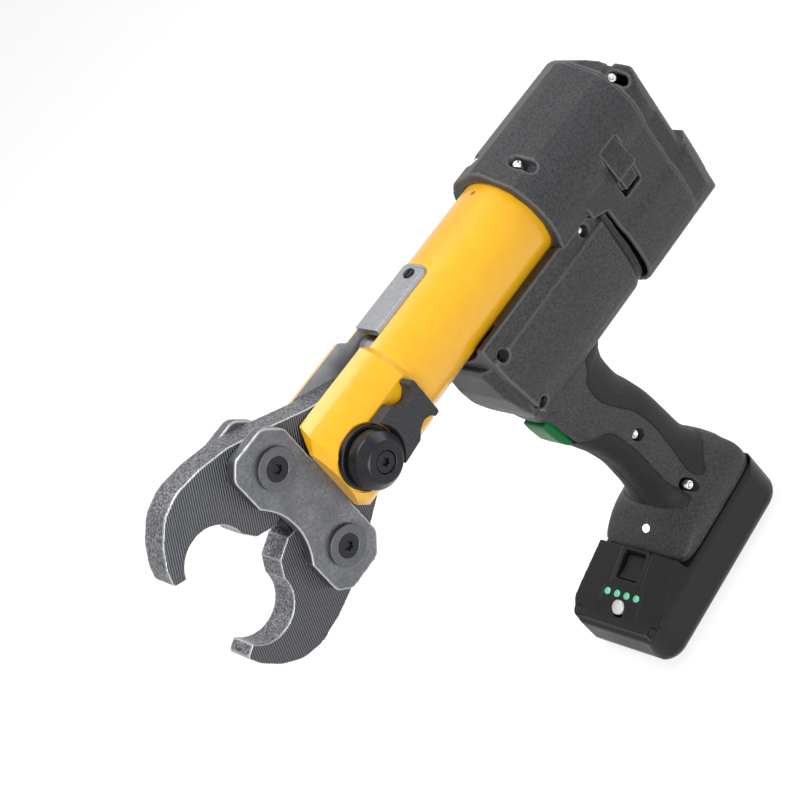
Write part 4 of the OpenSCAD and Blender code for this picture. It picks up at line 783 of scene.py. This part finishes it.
def makeBarrel():
    for ending in ("left", "right"):
        shell = mergedCopy("motorHousing" + ending.title(), "housing_" + ending)
        # all that lies below the floor goes
        cutAway(shell, [boxCutter((-400, -200, -500), (200, 200, barrel["floor"]), fromHead)])
        settleSoft(shell, barrel, crownedBarrel, "housing_" + ending)


makeBarrel()
print("motor housing made")

softNodes = {
    # piece: node, step of the skin in millimetres, rounds of evening out
    "frontCover": ("front_cover", 0.7, 4), "lockLever": ("lock_lever", 0.45, 2),
    "tongPlateLeft": ("tong_plate_left", 0.5, 7), "tongPlateRight": ("tong_plate_right", 0.5, 7),
    "jawUpper": ("jaw_upper", 0.6, 7), "jawLower": ("jaw_lower", 0.6, 7),
}
for pieceName, (nodeName, step, rounds) in softNodes.items():
    settle(softForm(mergedCopy(pieceName, nodeName), step, rounds), nodeName)
print("front cover, lever and tongs made")

# The block that the hood and the rear cover wrap, below the hood's arch
block = {"from": -47.0, "fall": 30.0, "draw": 0.07}


def fullerBlock(points):
    # below the arch the flanks lean in a little towards the bottom, as the square of the way down
    drop = np.clip((block["from"] - points[:, 2]) / block["fall"], 0, 1)
    moved = points.copy()
    moved[:, 1] *= 1 - block["draw"] * drop ** 2
    return moved


# Hood: its screws stand at the inner ends of deep slots that run down the shoulders
hood = {
    "slotFrom": (-179.8, 16.2), "slotRun": (-0.8, 7.6), "radius": 3.7, "floor": 22.5, "headRise": 4.4,
    # wall round the slot, across and up
    "wall": [(9.5, 20.0), (9.5, 33.1), (23.6, 27.0), (26.7, 24.0), (28.7, 21.6), (26.0, 19.0)],
    "wallFrom": -184.6, "wallLength": 9.2, "step": 0.8, "rounds": 2,
    # the frame's own screws in this box give way to the heads that are turned here
    "emptyLow": (-200, -60, -100), "emptyHigh": (-100, 60, 60),
}
# Rear cover: a slot in each flank, from its upper end to its lower, and the way that it opens
rearCover = {
    "slotFrom": (-254.7, 28.9, 20.6), "slotTo": (-256.5, 31.6, 16.7), "out": (0, 0.82, 0.573), "radius": 3.6,
    "depth": 5.0, "headDepth": 3.6, "headShift": 1.2, "step": 0.8, "rounds": 2,
}
# a screw head with its recess, radius and height
screwHead = [(0, 0.9), (1.4, 0.9), (1.5, 2.0), (2.5, 2.1), (2.9, 1.6), (2.9, -4.5), (0, -4.5)]


def turnedHead(seat, axis, place):
    return turnedPiece("head", screwHead, seat, axis, place, "zincPlate", 40)


def makeHoodAndCover():
    shell = mergedCopy("hoodShell", "hood")
    walls, slots, heads = [], [], []
    for side in (1, -1):
        outline = [(hood["wallFrom"], side * y, z) for y, z in hood["wall"]]
        walls.append(prismCutter(outline, (hood["wallLength"], 0, 0), fromHead))
        (x, y), (dx, dy) = hood["slotFrom"], hood["slotRun"]
        ring = obround((x, 0, y), hood["radius"], (dx, dy))[:, [0, 2, 1]] * [1, side, 1]
        slots.append(prismCutter(ring + [0, 0, hood["floor"]], (0, 0, slotReach), fromHead))
        seat = (x, side * y, hood["floor"] + hood["headRise"])
        heads.append(turnedHead(seat, (0, 0, 1), fromHead))
    cutAway(cutAway(shell, walls, "UNION"), slots)
    settleSoft(shell, hood, fullerBlock, "hood")
    cover = mergedCopy("rearCover", "rear_cover")
    slots = []
    for side in (1, -1):
        mirror = np.array([1, side, 1])
        start, end, out = (np.array(rearCover[k]) * mirror for k in ("slotFrom", "slotTo", "out"))
        along = (end - start) / np.linalg.norm(end - start)
        turn = np.linspace(-math.pi / 2, math.pi * 1.5, 48, endpoint=False)
        ends = np.where((turn < math.pi / 2)[:, None], end, start)
        spoke = np.cos(turn)[:, None] * along + np.sin(turn)[:, None] * np.cross(out, along)
        ring = ends + rearCover["radius"] * spoke - rearCover["depth"] * out
        slots.append(prismCutter(ring, out * slotReach, fromHead))
        seat = start - rearCover["headDepth"] * out - rearCover["headShift"] * along
        heads.append(turnedHead(seat, out, fromHead))
    cutAway(cover, slots)
    settleSoft(cover, rearCover, fullerBlock, "rear_cover")
    screws = cutAway(mergedCopy("screws", "hood_screws"),
                     [boxCutter(hood["emptyLow"], hood["emptyHigh"], fromHead)])
    settle(joinPieces("hoodScrews", [screws] + heads, "zincPlate"), "hood_screws")


makeHoodAndCover()
print("hood and rear cover made")


def slimTrigger(points):
    # narrower, lower and further back than the frame's own
    return points * [1, trigger["slim"], 1] - [trigger["back"], 0, trigger["lower"]]


# what lies behind the grip's front stays out of the way of the switch
triggerPiece = cutAway(mergedCopy("triggerPiece", "trigger"),
                       [boxCutter((-50, -50, trigger["top"]), (90, 50, 240), fromFoot),
                        boxCutter((-50, -50, 100), (trigger["rear"], 50, trigger["top"] + 1), fromFoot)])
settleSoft(triggerPiece, trigger, slimTrigger, "trigger")

# Screws of the grip: their heads are drawn at the far ends of their slots
heads = []
for (x, z, _), (dx, dz), deep in zip(gripScrews["places"], gripScrews["slips"], gripScrews["heads"]):
    heads.append(turnedHead((x + dx, deep, z + dz), (0, 1, 0), fromFoot))
screws = [mergedCopy("screws", "housing_screws")] + heads
settle(joinPieces("housingScrews", screws, "zincPlate"), "housing_screws")
print("trigger and grip screws made")


# Battery: case and lid as one moulding, with rounded corners, a raised frame round the release well,
# a shallow panel under the lamps, and a lip with two screw bosses
battery = {
    "half": (67.0, 37.0), "corner": (15.0, 13.0, 11.5),  # half length and width, reach of its round corners
    "step": 0.85, "rounds": 3,
    "noseFrom": (17.4, 46.5), "noseFall": -0.295,  # start of the sloped front, and its fall per millimetre
    "frame": {"from": 17.7, "to": 39.2, "bar": 1.9, "half": 11.4, "inner": 8.9, "rise": 0.9},
    "travel": {"low": (18.5, -9.0, 28.7), "high": (36.5, 9.0, 34.0)},  # room under the release button
    "panel": {"from": 41.2, "to": 58.0, "half": 16.5, "depth": 0.35, "ease": 0.5, "skin": 4},
    "lip": {"low": (58.6, -27.5, 27.0), "high": (63.4, 27.5, 32.0)},
    "bosses": [(60.3, 31.3), (60.3, -31.3)], "bossRadius": 4.3, "bossTop": 32.3, "bossDepth": 5.3,
    "screwRadius": 2.8,
    "lamps": {"at": 45.5, "spread": (-12, -4, 4, 12), "radius": 2.2},
    "check": {"at": 53.0, "top": 35.9, "tilt": (0.448, 0, 0.894), "radius": 4.4},
}


def noseTop(x):
    return battery["noseFrom"][1] + (x - battery["noseFrom"][0]) * battery["noseFall"]


def batteryForm(points):
    # corners are those of a rounded box: past the start of a corner, a point lies no further out than
    # an ellipsoid; the panel under the lamps is let into the nose
    size, soft = np.array([*battery["half"], 0.0]), np.array(battery["corner"])
    past = np.stack([np.abs(points[:, 0]) - size[0] + soft[0], np.abs(points[:, 1]) - size[1] + soft[1],
                     soft[2] - points[:, 2]], 1)
    past = np.maximum(past, 0) / soft
    over = np.maximum(np.linalg.norm(past, axis=1), 1)[:, None]
    shift = past * soft * (1 - 1 / over) * np.stack([-np.sign(points[:, 0]), -np.sign(points[:, 1]),
                                                     np.ones(len(points))], 1)
    moved = points + shift
    look = battery["panel"]
    inside = np.clip(np.minimum.reduce([moved[:, 0] - look["from"], look["to"] - moved[:, 0],
                                        look["half"] - np.abs(moved[:, 1])]) / look["ease"], 0, 1)
    inside *= moved[:, 2] > noseTop(moved[:, 0]) - look["skin"]
    moved[:, 2] -= inside * look["depth"]
    return moved


def makeBattery():
    look = battery["frame"]
    blocks = [mergedCopy("case", "battery_case"), mergedCopy("lid", "battery_lid")]

    def bar(start, end, low, high):
        corners = ((start, look["rise"]), (end, look["rise"]), (end, -4), (start, -4))
        outline = [(x, low, noseTop(x) + up) for x, up in corners]
        return prismCutter(outline, (0, high - low, 0), fromFoot)

    blocks += [bar(look["from"], look["to"], low, high) for low, high in
               ((look["inner"], look["half"]), (-look["half"], -look["inner"]))]
    blocks += [bar(look["from"], look["from"] + look["bar"], -look["half"], look["half"]),
               bar(look["to"] - look["bar"], look["to"], -look["half"], look["half"])]
    blocks.append(boxCutter(battery["lip"]["low"], battery["lip"]["high"], fromFoot))
    inner, outer, deep = battery["screwRadius"], battery["bossRadius"], battery["bossDepth"]
    profile = [(inner, 0), (outer, 0), (outer, deep), (inner, deep)]
    for x, y in battery["bosses"]:
        foot = (x, y, battery["bossTop"] - deep)
        blocks.append(turnedPiece("boss", profile, foot, (0, 0, 1), fromFoot, "batteryAbs"))
    shell = softForm(joinPieces("batteryShell", blocks, "batteryAbs"), battery["step"], battery["rounds"])
    movePoints(shell, fromFoot(batteryForm(pointsOf(shell) * 1000)))
    cutAway(shell, [boxCutter(battery["travel"]["low"], battery["travel"]["high"], fromFoot)])
    settle(shell, "battery_case", "battery_lid")
    lamps = battery["lamps"]
    r = lamps["radius"]
    lens = [(0, -1.2), (r, -1.2), (r, 0.1), (r - 0.3, 0.32), (0, 0.42)]  # radius and height over the nose
    top, up = noseTop(lamps["at"]), (-battery["noseFall"], 0, 1)
    discs = [turnedPiece("lamp", lens, (lamps["at"], y, top), up, fromFoot, "mintLens", 40)
             for y in lamps["spread"]]
    settle(joinPieces("chargeLamps", discs, "mintLens"), "charge_lamps")
    check = battery["check"]
    r = check["radius"]
    cap = [(0, -3), (r, -3), (r, 0.1), (r - 0.4, 0.5), (0, 0.6)]
    place = (check["at"], 0, check["top"])
    settle(turnedPiece("checkButton", cap, place, check["tilt"], fromFoot, "whiteAbs", 64), "check_button")


makeBattery()
print("battery made")

# Work lamp: a clear dome in the foot's front
workLamp = {"place": (4.6, 0.0, 48.9), "aim": (0.78, 0, 0.62), "radius": 2.8, "rise": 1.4, "depth": 4}
dome = [(0, -workLamp["depth"]), (workLamp["radius"], -workLamp["depth"])]
for turn in np.linspace(0, math.pi / 2, 9):
    dome.append((workLamp["radius"] * math.cos(turn), workLamp["rise"] * math.sin(turn)))
lens = turnedPiece("workLampLens", dome, workLamp["place"], workLamp["aim"], fromFoot, "workLampLens", 48)
settle(lens, "work_lamp")
print("work lamp made")

roundedNodes = {
    # piece: node, width of the bevels in millimetres
    "pressCylinder": ("press_cylinder", 0.5), "slotStripTop": ("slot_strip_top", 0.4),
    "slotStripBottom": ("slot_strip_bottom", 0.4), "jawBolts": ("jaw_bolts", 0.4),
    "jawBoltCaps": ("jaw_bolt_caps", 0.4),
    "holdingPin": ("holding_pin", 0.5), "releaseButton": ("release_button", 0.6),
}
for pieceName, (nodeName, width) in roundedNodes.items():
    settle(roundedEdges(mergedCopy(pieceName, nodeName), width), nodeName)
print("rounded pieces made")


# Reset lever: a wedge with a ridge that lies over its recess, and a stub below it
resetLever = {
    "middle": -221.5, "half": 8.4, "narrow": 0.86,  # along the tool, and how far the top draws in
    "top": 1.8, "low": -20.4, "taperFrom": 33.4, "taperOver": 0.6, "step": 0.4, "rounds": 2,
    # height and distance from the middle plane of the wedge's side, from its top down
    "wedge": [(1.8, 33.2), (1.8, 34.6), (-1.5, 35.3), (-15.8, 38.3), (-18.0, 38.3), (-20.4, 34.4),
        (-20.4, 33.2)],
    "root": ((-7.2, 30.7, -26.5), (7.2, 33.6, 0.5)),
    "stub": ((-5.6, 31.0, -27.2), (5.6, 35.4, -19.5)),
}


def makeResetLever():
    look = resetLever

    def tapered(points):
        share = np.clip((points[:, 2] - look["low"]) / (look["top"] - look["low"]), 0, 1)
        outer = np.clip((points[:, 1] - look["taperFrom"]) / look["taperOver"], 0, 1)
        width = 1 - outer * share * (1 - look["narrow"])
        x = look["middle"] + (points[:, 0] - look["middle"]) * width
        return np.stack([x, points[:, 1], points[:, 2]], 1)

    start = look["middle"] - look["half"]
    wedge = prismCutter([(start, y, z) for z, y in look["wedge"]], (2 * look["half"], 0, 0), fromHead)
    blocks = [boxCutter(*[np.array(corner) + (look["middle"], 0, 0) for corner in look[key]], fromHead)
              for key in ("root", "stub")]
    settleSoft(joinPieces("resetLever", [wedge] + blocks, "coverNylon"), look, tapered, "reset_lever")


makeResetLever()
print("reset lever made")

# Knob: a domed cap with a chamfer that the light catches, turned round the pin
knob = {
    # radius and height over the flange
    "profile": [(3.1, 0.0), (14.2, 0.0), (14.2, 0.9), (15.1, 1.3), (15.5, 1.9), (15.5, 7.8), (15.3, 8.6),
        (14.7, 9.4), (11.6, 13.0), (10.9, 13.7), (10.0, 14.0), (6.9, 14.0), (6.4, 13.8), (6.1, 13.3),
        (6.1, 10.7), (3.1, 10.7)],
    "seat": (0.0, 31.7, 0.0), "bevel": 0.18, "bevelAngle": 40,
}
cap = turnedPiece("pinKnob", knob["profile"], knob["seat"], (0, 1, 0), fromHead, "blackOxide")
settle(roundedEdges(cap, knob["bevel"], knob["bevelAngle"], 2), "pin_knob")
print("knob made")

# The fork's slot in the cylinder, along the tool and to either side
fork = {"from": -60, "to": 40, "half": 10.6}


def bareInside(piece):
    # faces of the slot that look along y are machined bare
    piece.data.materials.append(finish["milledWall"])
    faces = piece.data.polygons
    places = (readRows(faces, "center") - headOrigin) @ headTurn.T * 1000
    inside = (np.abs(readRows(faces, "normal")[:, 1]) > 0.9) & (np.abs(places[:, 1]) < fork["half"])
    inside &= (places[:, 0] > fork["from"]) & (places[:, 0] < fork["to"])
    faces.foreach_set("material_index", inside.astype(np.int32))


bareInside(bpy.data.objects["pressCylinder"])
print("bare steel inside the fork")

# Floor, lights and view
stage = {
    "colour": "#b9b9b9", "rough": 0.9, "glow": 0.74, "reach": 6.0,
    "backdrop": 0.2,  # share of the white backdrop that lights the tool
    "target": (0.0, 0.0, 0.2),
    # name: place, size of the area, watts
    "lights": {
        "overhead": ((-0.02, -0.2, 1.35), (0.8, 0.6), 9.6),
        "side": ((0.7, 1.4, 0.6), (1.0, 1.0), 18),
        "back": ((-1.2, 0.2, 0.8), (0.6, 1.0), 5),
    },
}


def placeStage():
    finish["paperFloor"], tree, _, shader = startMaterial("paperFloor")
    feed(tree, shader, {"Base Color": stage["colour"], "Roughness": stage["rough"]})
    glow = addNode(tree, "Emission", {"Color": (1, 1, 1, 1), "Strength": stage["glow"]})
    both = addNode(tree, "AddShader", links={0: shader.outputs[0], 1: glow.outputs[0]})
    pick = addNode(tree, "MixShader",
                   links={0: seenDirectly(tree), 1: shader.outputs[0], 2: both.outputs[0]})
    output = [n for n in tree.nodes if n.type == "OUTPUT_MATERIAL"][0]
    tree.links.new(pick.outputs[0], output.inputs["Surface"])
    reach = stage["reach"]
    corners = [(-reach, -reach, 0), (reach, -reach, 0), (reach, reach, 0), (-reach, reach, 0)]
    floor = meshPiece("floor", corners, [(0, 1, 2, 3)], "paperFloor", False)


def placeLight(name, place, size, power):
    data = bpy.data.lights.new(name, "AREA")
    data.shape = "RECTANGLE"
    data.size, data.size_y = size
    data.energy = power
    lamp = bpy.data.objects.new(name, data)
    bpy.context.scene.collection.objects.link(lamp)
    aim = Vector(stage["target"]) - Vector(place)
    lamp.matrix_world = Matrix.Translation(place) @ aim.to_track_quat("-Z", "Y").to_matrix().to_4x4()


def placeWorld():
    world = bpy.data.worlds.new("studio")
    bpy.context.scene.world = world
    world.use_nodes = True
    tree = world.node_tree
    tree.nodes.clear()
    strength = addNode(tree, "MapRange", {"To Min": stage["backdrop"], "To Max": 1.0},
                       {"Value": seenDirectly(tree)})
    back = addNode(tree, "Background", {"Color": (1, 1, 1, 1)}, {"Strength": strength.outputs[0]})
    addNode(tree, "OutputWorld", links={"Surface": back.outputs[0]})


placeStage()
placeWorld()
for lightName, (place, size, power) in stage["lights"].items():
    placeLight(lightName, place, size, power)
bpy.context.scene.view_settings.view_transform = "Standard"
print("stage lit")
